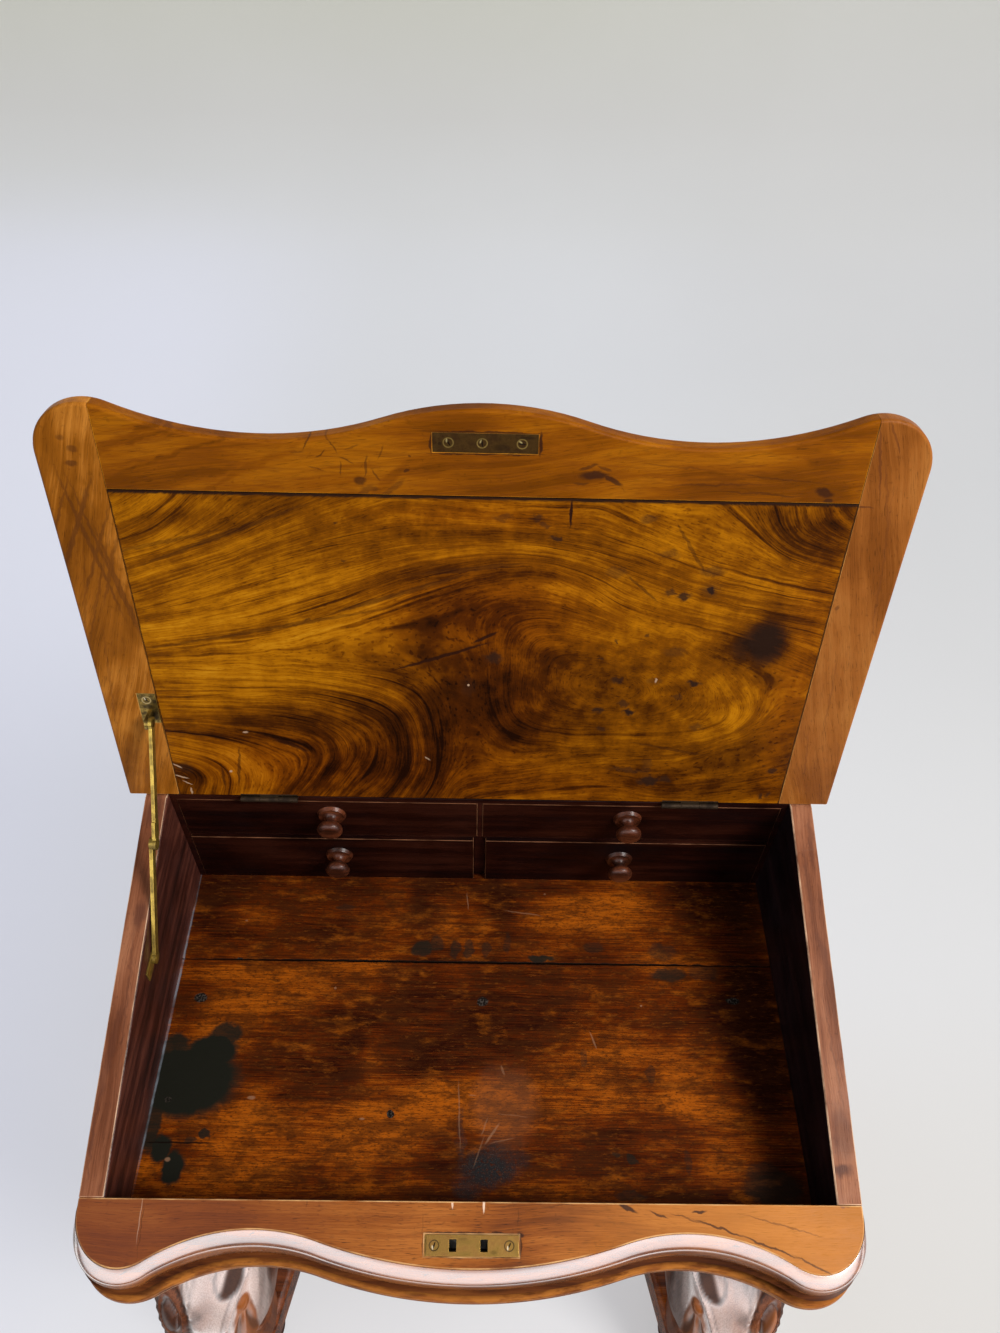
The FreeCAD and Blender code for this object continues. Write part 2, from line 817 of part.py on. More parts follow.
def stay_wall_plate():
    """The plate on the well's left wall, with the pin that the lower bar turns on."""
    wall = stay_points()["wall"]
    plate_x = stay_layers()["plate"]
    front = wall[0] - wall_plate_length + stay_eye_radius
    plate = box(plate_x, plate_x + stay_plate_thickness, front,
                front + wall_plate_length,
                wall[1] - wall_plate_height / 2, wall[1] + wall_plate_height / 2)
    pin = pin_through(plate_x + stay_plate_thickness, stay_bar_thickness, wall)
    return plate.fuse(pin)


def stay_lower_bar():
    """The lower bar, bored for the wall pin, with the knuckle's flat stud."""
    points = stay_points()
    x = stay_layers()["lower"]
    bar = stay_bar(x, points["wall"], points["knuckle"])
    return bar.cut(disc(x - overrun, 2 * overrun, points["wall"],
                        stay_pin_radius + running_clearance))


def stay_upper_bar():
    """The upper bar, bored for the lid's pin, with the sleeve by the knuckle."""
    knuckle = stay_points()["knuckle"]
    lid = stay_points()["lid"]
    x = stay_layers()["upper"]
    bar = stay_bar(x, knuckle, lid)
    length = math.hypot(lid[0] - knuckle[0], lid[1] - knuckle[1])
    run = ((lid[0] - knuckle[0]) / length, (lid[1] - knuckle[1]) / length)
    near = tuple(knuckle[i] + run[i] * stay_eye_radius for i in (0, 1))
    far = tuple(near[i] + run[i] * sleeve_length for i in (0, 1))
    bar = bar.fuse(bar_between(x, near, far, stay_bar_width + 2 * sleeve_wall))
    return bar.cut(disc(x - overrun, 2 * overrun, lid,
                        stay_pin_radius + running_clearance))


def lid_plate_blank():
    """The stay's plate in the lid's underside, drawn flat."""
    ear_x = stay_layers()["lower"] + stay_bar_thickness / 2
    return box(ear_x - lid_plate_half_width, ear_x + lid_plate_half_width,
               -lid_plate_front, -lid_plate_back,
               lid_seat_gap, lid_seat_gap + leaf_thickness)


def stay_lid_bracket():
    """The plate on the lid with its ear and the pin that the upper bar turns on."""
    ear_x = stay_layers()["lower"]
    pivot = (-lid_pivot_reach, -lid_pivot_drop)
    neck = box(ear_x, ear_x + stay_bar_thickness, pivot[0] - stay_eye_radius,
               pivot[0] + stay_eye_radius, pivot[1], lid_seat_gap + leaf_thickness)
    ear = neck.fuse(disc(ear_x, stay_bar_thickness, pivot, stay_eye_radius))
    pin = pin_through(ear_x + stay_bar_thickness, stay_bar_thickness, pivot)
    return on_lid(lid_plate_blank().fuse(ear).fuse(pin))


# Drawers and knobs

def knob(sizes):
    """A turned knob pointing to the front, its foot on the plane y = 0.

    A flat foot, a hollow neck, a swelling head and a short spigot behind.
    """
    foot, neck, head, length = sizes
    rim = V(foot, 0, 0)
    foot_edge = V(foot * foot_top_share, -length * foot_end_share, 0)
    neck_end = V(neck * neck_end_share, -length * neck_reach_share, 0)
    crown = V(head * crown_share, -length * crown_reach_share, 0)
    tip = V(0, -length, 0)
    behind = V(0, knob_spigot_length, 0)
    corner = V(knob_spigot_radius, knob_spigot_length, 0)
    inner = V(knob_spigot_radius, 0, 0)
    outline = [
        Part.LineSegment(behind, corner).toShape(),
        Part.LineSegment(corner, inner).toShape(),
        Part.LineSegment(inner, rim).toShape(),
        Part.LineSegment(rim, foot_edge).toShape(),
        Part.Arc(foot_edge, V(neck, -length * neck_share, 0), neck_end).toShape(),
        Part.Arc(neck_end, V(head, -length * head_share, 0), crown).toShape(),
        Part.LineSegment(crown, tip).toShape(),
        Part.LineSegment(tip, behind).toShape(),
    ]
    return Part.Face(Part.Wire(outline)).revolve(V(0, 0, 0), V(0, 1, 0), 360)


def spigot_hole(x, z):
    """The blind hole for a knob in a front whose face is the plane y = 0."""
    deep = knob_spigot_length + running_clearance
    return Part.makeCylinder(knob_spigot_radius + running_clearance, deep,
                             V(x, 0, z), V(0, 1, 0))


def drawer(width, height, depth, front, wall, bottom, knobs):
    """A drawer of five boards, its front face on the plane y = 0.

    The front's lower left corner is the origin; knobs are (x, z) on the front.
    """
    face = box(0, width, 0, front, 0, height)
    for x, z in knobs:
        face = face.cut(spigot_hole(x, z))
    lower = height - 2 * bottom
    left = box(0, wall, front, depth, 0, lower)
    right = box(width - wall, width, front, depth, 0, lower)
    back = box(wall, width - wall, depth - wall, depth, bottom, lower)
    base = box(wall, width - wall, front, depth, 0, bottom)
    return group([face, left, right, back, base])


def inner_drawer_layout():
    """Name, x range, z range and knob of each small drawer, the left pair first."""
    outer = well_inner_x - guide_thickness - inner_gap
    upper_in = upper_partition / 2 + inner_gap
    lower_in = lower_partition / 2 + inner_gap
    shelf_low = -inner_upper_bottom - inner_gap - inner_shelf
    upper = (-inner_upper_bottom, -rail_thickness - inner_gap)
    lower = (-well_depth + inner_gap / 2, shelf_low - inner_gap)
    rows = []
    for side, word in ((-1, "left"), (1, "right")):
        for level, inner, heights, below in (
                ("upper", upper_in, upper, inner_upper_knob_below),
                ("lower", lower_in, lower, inner_lower_knob_below)):
            ends = sorted((side * inner, side * outer))
            rows.append((f"{level}_{word}", ends, heights,
                         (side * inner_knob_x, -below)))
    return rows


def inner_drawers():
    """The four small drawers and their knobs."""
    made = {}
    for name, (x0, x1), (z0, z1), (kx, kz) in inner_drawer_layout():
        one = drawer(x1 - x0, z1 - z0, inner_drawer_depth, inner_front_thickness,
                     inner_wall, inner_bottom, [(kx - x0, kz - z0)])
        one.translate(V(x0, inner_front_set, z0))
        handle = knob(small_knob)
        handle.translate(V(kx, inner_front_set, kz))
        made[f"small_drawer_{name}"] = one
        made[f"small_knob_{name}"] = handle
    return made


def side_drawer_layout():
    """Lower edge and height of each side drawer, from the top down."""
    top = case_bottom - pedestal_plate
    low = base_top + pedestal_plate
    clear = top - low - (len(drawer_height_shares) - 1) * dust_board
    rows = []
    for share in drawer_height_shares:
        height = clear * share
        rows.append((top - height, height))
        top -= height + dust_board
    return rows


def pedestal_bay():
    """Front and back of the drawer opening in the pedestal, along y."""
    front = -pedestal_front_reach + pedestal_stile
    back = case_back_reach - back_thickness - pedestal_stile
    return front, back


def turned_to_side(shape):
    """A front-facing shape turned to face right, at the pedestal's right face."""
    turned = shape.copy()
    turned.rotate(V(0, 0, 0), V(0, 0, 1), 90)
    turned.translate(V(pedestal_half_width, 0, 0))
    return turned


def side_drawers():
    """The four graduated drawers in the right side, and their knobs."""
    front, back = pedestal_bay()
    width = back - front - 2 * side_gap
    made = {}
    for i, (low, space) in enumerate(side_drawer_layout()):
        height = space - 2 * side_gap
        places = [(width * share, height / 2)
                  for share in (side_knob_y_share, 1 - side_knob_y_share)]
        one = drawer(width, height, side_drawer_length, side_front_thickness,
                     side_wall, side_bottom, places)
        one = with_bead(one, width, height)
        handles = []
        for x, z in places:
            handle = knob(large_knob)
            handle.translate(V(x, 0, z))
            handles.append(handle)
        made[f"side_drawer_{i + 1}"] = side_place(one, front, low)
        made[f"side_drawer_knobs_{i + 1}"] = side_place(group(handles), front, low)
    return made


def side_place(shape, front, low):
    """A drawer-shaped thing set in its bay of the pedestal."""
    turned = turned_to_side(shape)
    turned.translate(V(0, front + side_gap, low + side_gap))
    return turned


def with_bead(one, width, height):
    """The drawer with a thin raised bead round its front."""
    ring = box(0, width, -cock_bead, 0, 0, height)
    ring = ring.cut(box(cock_bead, width - cock_bead, -2 * cock_bead, cock_bead,
                        cock_bead, height - cock_bead))
    face = one.Solids[0].fuse(ring).removeSplitter()
    return group([face] + one.Solids[1:])


# Pedestal

def pedestal_left():
    """The solid left wall, behind the dummy drawer fronts."""
    inner = -pedestal_half_width + side_front_thickness
    return box(inner, inner + pedestal_board, -pedestal_front_reach + pedestal_board,
               case_back_reach - back_thickness, base_top + pedestal_plate,
               case_bottom - pedestal_plate)


def pedestal_stiles():
    """The upright posts at the pedestal's four corners."""
    front, back = pedestal_bay()
    top = case_bottom - pedestal_plate
    low = base_top + pedestal_plate
    ends = ((-pedestal_front_reach + pedestal_board, front),
            (back, case_back_reach - back_thickness))
    posts = []
    for y0, y1 in ends:
        posts.append(box(pedestal_half_width - side_front_thickness,
                         pedestal_half_width, y0, y1, low, top))
        posts.append(box(-pedestal_half_width,
                         -pedestal_half_width + side_front_thickness,
                         y0, y1, low, top))
    return group(posts)


def pedestal_front():
    """The framed front of the pedestal with its sunk panel."""
    top = case_bottom - pedestal_plate
    low = base_top + pedestal_plate
    y0 = -pedestal_front_reach
    y1 = y0 + pedestal_board
    half = pedestal_half_width
    stile = box(-half, -half + panel_rail, y0, y1, low, top)
    inner = half - panel_rail
    lower = box(-inner, inner, y0, y1, low, low + panel_rail)
    upper = box(-inner, inner, y0, y1, top - panel_rail, top)
    panel = box(-inner, inner, y1 - panel_thickness, y1,
                low + panel_rail, top - panel_rail)
    return group([both_sides(stile), lower, upper, panel])


def pedestal_back():
    """The plain board across the pedestal's back."""
    return box(-pedestal_half_width, pedestal_half_width,
               case_back_reach - back_thickness, case_back_reach,
               base_top + pedestal_plate, case_bottom - pedestal_plate)


def pedestal_plate_at(low):
    """A level board as wide and deep as the pedestal."""
    return box(-pedestal_half_width, pedestal_half_width, -pedestal_front_reach,
               case_back_reach, low, low + pedestal_plate)


def dust_boards():
    """The boards between the side drawers."""
    front, back = pedestal_bay()
    inner = -pedestal_half_width + side_front_thickness + pedestal_board
    boards = []
    for low, height in side_drawer_layout()[:-1]:
        boards.append(box(inner, pedestal_half_width, front, back,
                          low - dust_board, low))
    return group(boards)


def dummy_fronts():
    """False drawer fronts on the pedestal's left side, each with its bead."""
    front, back = pedestal_bay()
    width = back - front - 2 * side_gap
    made, handles = [], []
    for low, space in side_drawer_layout():
        height = space - 2 * side_gap
        face = box(0, width, 0, side_front_thickness, 0, height)
        places = [(width * share, height / 2)
                  for share in (side_knob_y_share, 1 - side_knob_y_share)]
        for x, z in places:
            face = face.cut(spigot_hole(x, z))
            handle = knob(large_knob)
            handle.translate(V(x, 0, z))
            handles.append(mirrored(side_place(handle, front, low)))
        made.append(mirrored(side_place(with_bead(face, width, height), front, low)))
    return group(made), group(handles)


# Base, arms, feet and legs

def base_platform():
    """The slab under the pedestal, with its upper edge rounded."""
    slab = box(-base_half_width, base_half_width, -base_front_reach,
               case_back_reach, base_bottom, base_top)
    edges = [e for e in slab.Edges if round_base_edge(e)]
    return slab.makeFillet(base_edge_round, edges)


def round_base_edge(edge):
    """True for the upper edges along the sides and the back."""
    bounds = edge.BoundBox
    level = abs(bounds.ZMin - base_top) + abs(bounds.ZMax - base_top)
    return level < running_clearance and bounds.YMax > -base_front_reach + base_edge_round


def bowed_middle(start, end, bow_share):
    """The middle of a line, moved aside by shares of half its length."""
    half = (end - start) / 2
    return start + half + V(half.Length * bow_share[0], half.Length * bow_share[1], 0)


def base_arm():
    """The right arm that reaches forward to carry a leg."""
    root = -base_front_reach
    points = [V(base_half_width - arm_root_width, root, 0),
              V(arm_half_width - arm_back_width, -arm_straight_back, 0),
              V(arm_half_width - arm_front_width, -arm_straight_front, 0),
              V(arm_half_width, -arm_straight_front, 0),
              V(arm_half_width, -arm_straight_back, 0),
              V(base_half_width, root, 0)]
    inner_mid = bowed_middle(points[0], points[1], arm_inner_bow_share)
    nose = V(arm_half_width - arm_front_width / 2, -arm_straight_front - arm_nose, 0)
    outer_mid = bowed_middle(points[4], points[5], arm_outer_bow_share)
    edges = [
        Part.Arc(points[0], inner_mid, points[1]).toShape(),
        Part.LineSegment(points[1], points[2]).toShape(),
        Part.Arc(points[2], nose, points[3]).toShape(),
        Part.LineSegment(points[3], points[4]).toShape(),
        Part.Arc(points[4], outer_mid, points[5]).toShape(),
        Part.LineSegment(points[5], points[0]).toShape(),
    ]
    arm = Part.Face(Part.Wire(edges)).extrude(V(0, 0, base_thickness))
    rim = [e for e in arm.Edges if arm_rim(e)]
    arm = arm.makeFillet(base_edge_round, rim)
    arm.translate(V(0, 0, base_bottom))
    return arm


def arm_rim(edge):
    """True for the arm's upper edges, but not where it meets the slab."""
    bounds = edge.BoundBox
    level = abs(bounds.ZMin - base_thickness) + abs(bounds.ZMax - base_thickness)
    return level < running_clearance and bounds.YMin < -base_front_reach - running_clearance


def bun_foot(x, y):
    """A turned foot with a collar, a bun and a flat bottom."""
    tall = base_bottom - floor_level
    middle = V(0, 0, tall)
    rim = V(foot_collar_radius, 0, tall)
    collar = V(foot_collar_radius, 0, tall * (1 - foot_collar_share))
    waist = V(foot_bottom_radius, 0, tall * (1 - foot_waist_share))
    swell = V(foot_radius, 0, tall * (1 - foot_swell_share))
    sole = V(foot_bottom_radius, 0, 0)
    corners = [sole, V(0, 0, 0), middle, rim, collar, waist]
    outline = [Part.LineSegment(a, b).toShape() for a, b in zip(corners, corners[1:])]
    outline.append(Part.Arc(waist, swell, sole).toShape())
    turned = Part.Face(Part.Wire(outline)).revolve(V(0, 0, 0), V(0, 0, 1), 360)
    turned.translate(V(x, y, floor_level))
    return turned


def feet():
    """Four turned feet, under the arms and under the back of the base."""
    front = bun_foot(foot_front_x, -foot_front_reach)
    back = bun_foot(base_half_width - foot_back_inset, case_back_reach - foot_back_inset)
    return group([both_sides(front), both_sides(back)])


def rounded_section(x, y, z, half_width, half_depth):
    """A level rectangle with round corners, as a closed wire of lines and arcs."""
    r = leg_radius_share * 2 * min(half_width, half_depth)
    corners = [(x + half_width - r, y + half_depth - r, 0),
               (x - half_width + r, y + half_depth - r, 1),
               (x - half_width + r, y - half_depth + r, 2),
               (x + half_width - r, y - half_depth + r, 3)]
    edges, ends = [], []
    for cx, cy, quarter in corners:
        angles = [math.pi / 2 * (quarter + k / 2) for k in range(3)]
        points = [V(cx + r * math.cos(a), cy + r * math.sin(a), z) for a in angles]
        if ends:
            edges.append(Part.LineSegment(ends[-1], points[0]).toShape())
        edges.append(Part.Arc(*points).toShape())
        ends += [points[0], points[2]]
    edges.append(Part.LineSegment(ends[-1], ends[0]).toShape())
    return Part.Wire(edges)


def leg():
    """The right leg: a block at the top, a full knee, a slim shaft and a foot."""
    length = case_bottom - base_top
    wires = []
    for i, share in enumerate(leg_height_shares):
        x = leg_top_x + (leg_foot_x - leg_top_x) * leg_swing_shares[i]
        y = -foot_front_reach - leg_reaches_past_foot[i]
        wires.append(rounded_section(x, y, case_bottom - length * share,
                                     leg_half_widths[i], leg_half_depths[i]))
    return Part.makeLoft(wires, True, False)


# Stationery compartment

def tray_box():
    """The open box on the flat top, of five boards."""
    half = tray_half_width
    floor = box(-half, half, tray_front, tray_back, 0, tray_wall)
    front = box(-half, half, tray_front, tray_front + tray_wall, tray_wall, tray_height)
    back = box(-half, half, tray_back - tray_wall, tray_back, tray_wall, tray_height)
    end = box(-half, -half + tray_wall, tray_front + tray_wall, tray_back - tray_wall,
              tray_wall, tray_height)
    return group([floor, front, back, both_sides(end)])


def tray_dividers():
    """Thin upright boards that part the letters from the paper."""
    boards = []
    for share in tray_divider_x_shares:
        x = share * (tray_half_width - tray_wall)
        boards.append(box(x - tray_divider / 2, x + tray_divider / 2,
                          tray_front + tray_wall, tray_back - tray_wall,
                          tray_wall, tray_wall + tray_divider_height))
    return group(boards)


def tray_lid():
    """The compartment's own lid, with its front and ends standing proud."""
    half = tray_half_width + tray_lid_overhang
    low = tray_height + lid_seat_gap
    board = box(-half, half, tray_front - tray_lid_overhang, tray_back,
                low, low + tray_lid_thickness)
    edges = [e for e in board.Edges
             if e.BoundBox.ZMin > low + running_clearance
             and e.BoundBox.YMin < tray_back - running_clearance]
    board = board.makeFillet(top_edge_radius, edges)
    return board.cut(group([tray_leaf_space(x) for x in (-tray_hinge_x, tray_hinge_x)]))


def tray_pin_place():
    """The centre of the small hinges' pins, as (y, z)."""
    return tray_back + knuckle_radius + running_clearance, tray_height + lid_seat_gap / 2


def tray_barrel(x0, x1, radius):
    """A round bar on the small hinges' line."""
    y, z = tray_pin_place()
    return Part.makeCylinder(radius, x1 - x0, V(x0, y, z), V(1, 0, 0))


def tray_leaf_space(x):
    """The recess in the compartment lid's back edge for one leaf."""
    low = tray_height + lid_seat_gap
    return box(x - tray_hinge_length / 2, x + tray_hinge_length / 2,
               tray_back - leaf_thickness, tray_back + overrun,
               low, low + tray_lid_thickness - top_edge_radius)


def tray_leaf(x, upper):
    """One leaf of a small hinge, on the lid's edge or on the back of the box."""
    half = tray_hinge_length / 2
    if upper:
        low = tray_height + lid_seat_gap
        leaf = box(x - half, x + half, tray_back - leaf_thickness, tray_back,
                   low, low + tray_lid_thickness - top_edge_radius)
        spans = [middle_third(x, tray_hinge_length)]
        web = (low, low + leaf_thickness)
    else:
        leaf = box(x - half, x + half, tray_back, tray_back + leaf_thickness,
                   tray_height - leaf_reach, tray_height - knuckle_radius)
        spans = outer_thirds(x, tray_hinge_length)
        web = (tray_height - knuckle_radius - leaf_thickness, tray_height)
    for x0, x1 in spans:
        leaf = leaf.fuse(tray_barrel(x0, x1, knuckle_radius))
        depth = tray_back + (knuckle_radius if upper else leaf_thickness)
        start = tray_back - leaf_thickness if upper else tray_back
        leaf = leaf.fuse(box(x0, x1, start, depth, web[0], web[1]))
    return leaf.cut(tray_barrel(x - tray_hinge_length, x + tray_hinge_length,
                                pin_radius + running_clearance))


def tray_pins():
    """The pins of the small hinges."""
    half = tray_hinge_length / 2
    return group([tray_barrel(x - half, x + half, pin_radius)
                  for x in (-tray_hinge_x, tray_hinge_x)])


def all_nodes():
    """Every sub-part by name, still drawn about the hinge line."""
    slab = lid_slab()
    seam = floor_seam_reach
    sides = (-hinge_x, hinge_x)
    tray_sides = (-tray_hinge_x, tray_hinge_x)
    left = case_side_left()
    right_leg = leg()
    fronts, handles = dummy_fronts()
    nodes = {
        "front_rail": front_rail(),
        "front_moulding": front_moulding(),
        "side_mouldings": side_mouldings(),
        "case_side_left": left,
        "case_side_right": mirrored(left),
        "case_back": case_back(),
        "well_floor_front": floor_board(-well_front, -seam - floor_seam_gap),
        "well_floor_back": floor_board(-seam, case_back_reach),
        "hinge_rail": hinge_rail(),
        "flat_top": flat_top(),
        "drawer_frame": drawer_frame(),
        "lid_panel": lid_panel(slab),
        "lid_clamp_left": lid_clamp(slab, -1),
        "lid_clamp_right": lid_clamp(slab, 1),
        "lid_front_rail": lid_front_rail(slab),
        "writing_leather": on_lid(leather_blank()),
        "link_plate": link_plate(),
        "link_screws": on_lid(link_screw_set(screw_radius, screw_head_radius)),
        "lock_plate": lock_plate(),
        "lock_body": lock_body(),
        "lock_bolt": lock_bolt(),
        "lock_screws": lock_screw_set(screw_radius, screw_head_radius),
        "hinge_case_leaves": group([case_leaf(x) for x in sides]),
        "hinge_lid_leaves": group([lid_leaf(x) for x in sides]),
        "hinge_pins": hinge_pins(),
        "stay_wall_plate": stay_wall_plate(),
        "stay_lower_bar": stay_lower_bar(),
        "stay_upper_bar": stay_upper_bar(),
        "stay_lid_bracket": stay_lid_bracket(),
        "pedestal_sides": group([pedestal_left(), pedestal_stiles()]),
        "pedestal_front": pedestal_front(),
        "pedestal_back": pedestal_back(),
        "pedestal_plates": group([pedestal_plate_at(case_bottom - pedestal_plate),
                                  pedestal_plate_at(base_top)]),
        "dust_boards": dust_boards(),
        "dummy_drawers": group([fronts, handles]),
        "base": group([base_platform(), both_sides(base_arm())]),
        "leg_left": mirrored(right_leg),
        "leg_right": right_leg,
        "feet": feet(),
        "stationery_box": tray_box(),
        "stationery_dividers": tray_dividers(),
        "stationery_lid": tray_lid(),
        "stationery_lid_leaves": group([tray_leaf(x, True) for x in tray_sides]),
        "stationery_hinges": group([tray_leaf(x, False) for x in tray_sides]
                                   + [tray_pins()]),
    }
    nodes.update(inner_drawers())
    nodes.update(side_drawers())
    return nodes


def main():
    """Move every sub-part to the desk's own frame and write it."""
    os.makedirs("parts", exist_ok=True)
    for name, shape in all_nodes().items():
        shape = shape.copy()
        shape.translate(V(0, hinge_y, hinge_height))
        shape.exportStep(f"parts/{name}.step")


main()
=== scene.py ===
import json
import math
import bmesh
import bpy
import numpy as np
from mathutils import Matrix, Vector

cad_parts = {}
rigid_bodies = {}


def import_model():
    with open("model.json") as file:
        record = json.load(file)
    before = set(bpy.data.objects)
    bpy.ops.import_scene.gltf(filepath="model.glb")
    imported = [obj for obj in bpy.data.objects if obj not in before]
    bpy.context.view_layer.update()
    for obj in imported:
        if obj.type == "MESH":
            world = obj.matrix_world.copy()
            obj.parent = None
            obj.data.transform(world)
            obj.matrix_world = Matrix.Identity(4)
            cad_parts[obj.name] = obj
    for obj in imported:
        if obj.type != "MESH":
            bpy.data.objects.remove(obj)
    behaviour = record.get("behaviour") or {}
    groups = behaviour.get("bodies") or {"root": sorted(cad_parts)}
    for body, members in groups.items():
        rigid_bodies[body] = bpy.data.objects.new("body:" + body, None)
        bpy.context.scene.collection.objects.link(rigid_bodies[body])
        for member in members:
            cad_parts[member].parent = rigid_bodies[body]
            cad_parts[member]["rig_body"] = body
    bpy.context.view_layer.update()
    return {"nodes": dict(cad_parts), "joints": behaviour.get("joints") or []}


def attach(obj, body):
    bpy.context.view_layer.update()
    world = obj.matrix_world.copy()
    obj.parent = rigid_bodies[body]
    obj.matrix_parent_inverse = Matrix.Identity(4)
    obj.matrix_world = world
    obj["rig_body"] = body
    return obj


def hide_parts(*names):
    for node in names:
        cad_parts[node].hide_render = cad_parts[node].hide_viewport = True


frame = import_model()

# A davenport desk with its lid open. Sizes in this script are millimetres about the
# lid's hinge line, with X to the right, Y to the back and Z up. SLOPE is the tilt of
# the case's rim, and TURN is the open lid's turn about the hinge line.
joints = {joint["name"]: joint for joint in frame["joints"]}
HINGE = np.array(joints["lid_hinge"]["pos_m"]) * 1000
SLOPE = math.radians(14.76)
TURN = SLOPE - math.radians(116.0)

CASE_FRONT = dict(half=273.0, peak=322.0, corner=33.0, dip_share=0.5495, dip=298.5,
                  centre=320.5)
CASE_LOW = -141.8
RIM_LOW = -84.5  # the rim's height in front, where the moulding's section is drawn
WELL_FLOOR = -131.8
WELL_X = 254.7
WELL_FRONT, WELL_BACK = 280.4, -190.0
LEATHER_X, LEATHER_FRONT, LEATHER_BACK = 229.5, 266.4, 18.8
HINGE_X, HINGE_HALF = 172, 23
SIDE_DRAWER_FACE, SMALL_DRAWER_FACE = 182, 11  # the drawers' fronts begin here


# Shader helpers

def place(tree, kind, inputs=(), **settings):
    """A shader node with its settings made and its inputs set or linked."""
    made = tree.nodes.new(kind)
    for key, value in settings.items():
        setattr(made, key, value)
    for key, value in dict(inputs).items():
        if isinstance(value, bpy.types.NodeSocket):
            tree.links.new(value, made.inputs[key])
        else:
            made.inputs[key].default_value = value
    return made


def calc(tree, operation, a, b=0.0, c=0.0):
    """One sum on numbers."""
    made = place(tree, "ShaderNodeMath", {0: a, 1: b, 2: c}, operation=operation)
    return made.outputs[0]


def noise(tree, vector, scale, detail, rough=0.5, bend=0.0):
    """Soft noise from 0 to 1."""
    inputs = {"Vector": vector, "Scale": scale, "Detail": detail, "Roughness": rough,
              "Distortion": bend}
    return place(tree, "ShaderNodeTexNoise", inputs).outputs["Fac"]


def moved(tree, vector, shift=(0, 0, 0), turn=(0, 0, 0), scale=(1, 1, 1)):
    """A place that is scaled, turned and shifted, in that order."""
    inputs = {"Vector": vector, "Location": shift, "Rotation": turn, "Scale": scale}
    return place(tree, "ShaderNodeMapping", inputs).outputs[0]


def span(tree, value, low, high, start=0.0, end=1.0):
    """A smooth step of a value from one level to another."""
    inputs = {"Value": value, "From Min": low, "From Max": high, "To Min": start,
              "To Max": end}
    return place(tree, "ShaderNodeMapRange", inputs,
                 interpolation_type="SMOOTHSTEP").outputs[0]


def mix(tree, share, a, b):
    """Two colours mixed."""
    made = place(tree, "ShaderNodeMix", data_type="RGBA", blend_type="MIX")
    for key, value in (("Factor_Float", share), ("A_Color", a), ("B_Color", b)):
        socket = next(s for s in made.inputs if s.identifier == key)
        if isinstance(value, bpy.types.NodeSocket):
            tree.links.new(value, socket)
        elif key == "Factor_Float":
            socket.default_value = value
        else:
            socket.default_value = (*value, 1.0)
    return next(s for s in made.outputs if s.identifier == "Result_Color")


def ramp(tree, value, stops):
    """A colour for each level of a value."""
    made = place(tree, "ShaderNodeValToRGB", {"Fac": value})
    elements = made.color_ramp.elements
    while len(elements) < len(stops):
        elements.new(0.5)
    for element, (position, colour) in zip(elements, stops):
        element.position = position
        element.color = (*colour, 1.0)
    return made.outputs[0]


def attribute(tree, name):
    """A number kept on the mesh."""
    return place(tree, "ShaderNodeAttribute", attribute_name=name).outputs["Fac"]


def board_place(tree, turn, grain=(0, 0, 0), shift=(0, 0, 0)):
    """Millimetres about the hinge line, laid back flat, with X along the grain."""
    laid = Matrix.Rotation(-turn, 3, "X")
    about = laid @ Vector(-HINGE)
    source = place(tree, "ShaderNodeTexCoord").outputs["Object"]
    flat = moved(tree, source, about, (-turn, 0, 0), (1000, 1000, 1000))
    if any(grain) or any(shift):
        return flat, moved(tree, flat, shift, grain)
    return flat, flat


def separate(tree, vector):
    """The three numbers of a place."""
    return place(tree, "ShaderNodeSeparateXYZ", {0: vector}).outputs


def combine(tree, x, y, z):
    """A place from three numbers."""
    return place(tree, "ShaderNodeCombineXYZ", {0: x, 1: y, 2: z}).outputs[0]


def make_group(name, inputs, outputs, build):
    """A shared node group that turns places and numbers into masks."""
    tree = bpy.data.node_groups.new(name, "ShaderNodeTree")
    for key, kind, value in inputs:
        socket = tree.interface.new_socket(key, in_out="INPUT", socket_type=kind)
        if value is not None:
            socket.default_value = value
    for key in outputs:
        tree.interface.new_socket(key, in_out="OUTPUT", socket_type="NodeSocketFloat")
    source = tree.nodes.new("NodeGroupInput")
    end = tree.nodes.new("NodeGroupOutput")
    for key, socket in build(tree, source.outputs).items():
        tree.links.new(socket, end.inputs[key])
    return tree


def grain_build(tree, given):
    """Broad wavy bands, fine streaks and short dark pores along X."""
    vector = given["Vector"]
    slow = noise(tree, moved(tree, vector, scale=(0.006, 0.016, 0.016)), 1.0, 2.0)
    wave = calc(tree, "MULTIPLY", calc(tree, "SUBTRACT", slow, 0.5), given["Wave"])
    axes = separate(tree, vector)
    across = calc(tree, "ADD", axes[1], wave)
    bent = combine(tree, axes[0], across, axes[2])
    bands = noise(tree, moved(tree, bent, scale=(0.004, 0.11, 0.11)), 1.0, 5.0, 0.62)
    streak = noise(tree, moved(tree, bent, scale=(0.03, 1.3, 1.3)), 1.0, 3.0, 0.6)
    pore = noise(tree, moved(tree, bent, scale=(0.11, 2.2, 2.2)), 1.0, 1.0)
    cloud = noise(tree, moved(tree, vector, scale=(0.01, 0.018, 0.018)), 1.0, 3.0)
    return {"Bands": span(tree, bands, 0.33, 0.67), "Streaks": span(tree, streak, 0.3, 0.7),
            "Pores": span(tree, pore, 0.60, 0.72), "Clouds": span(tree, cloud, 0.3, 0.7)}


grain_group = make_group(
    "wood_grain",
    [("Vector", "NodeSocketVector", None), ("Wave", "NodeSocketFloat", 24.0)],
    ("Bands", "Streaks", "Pores", "Clouds"), grain_build)


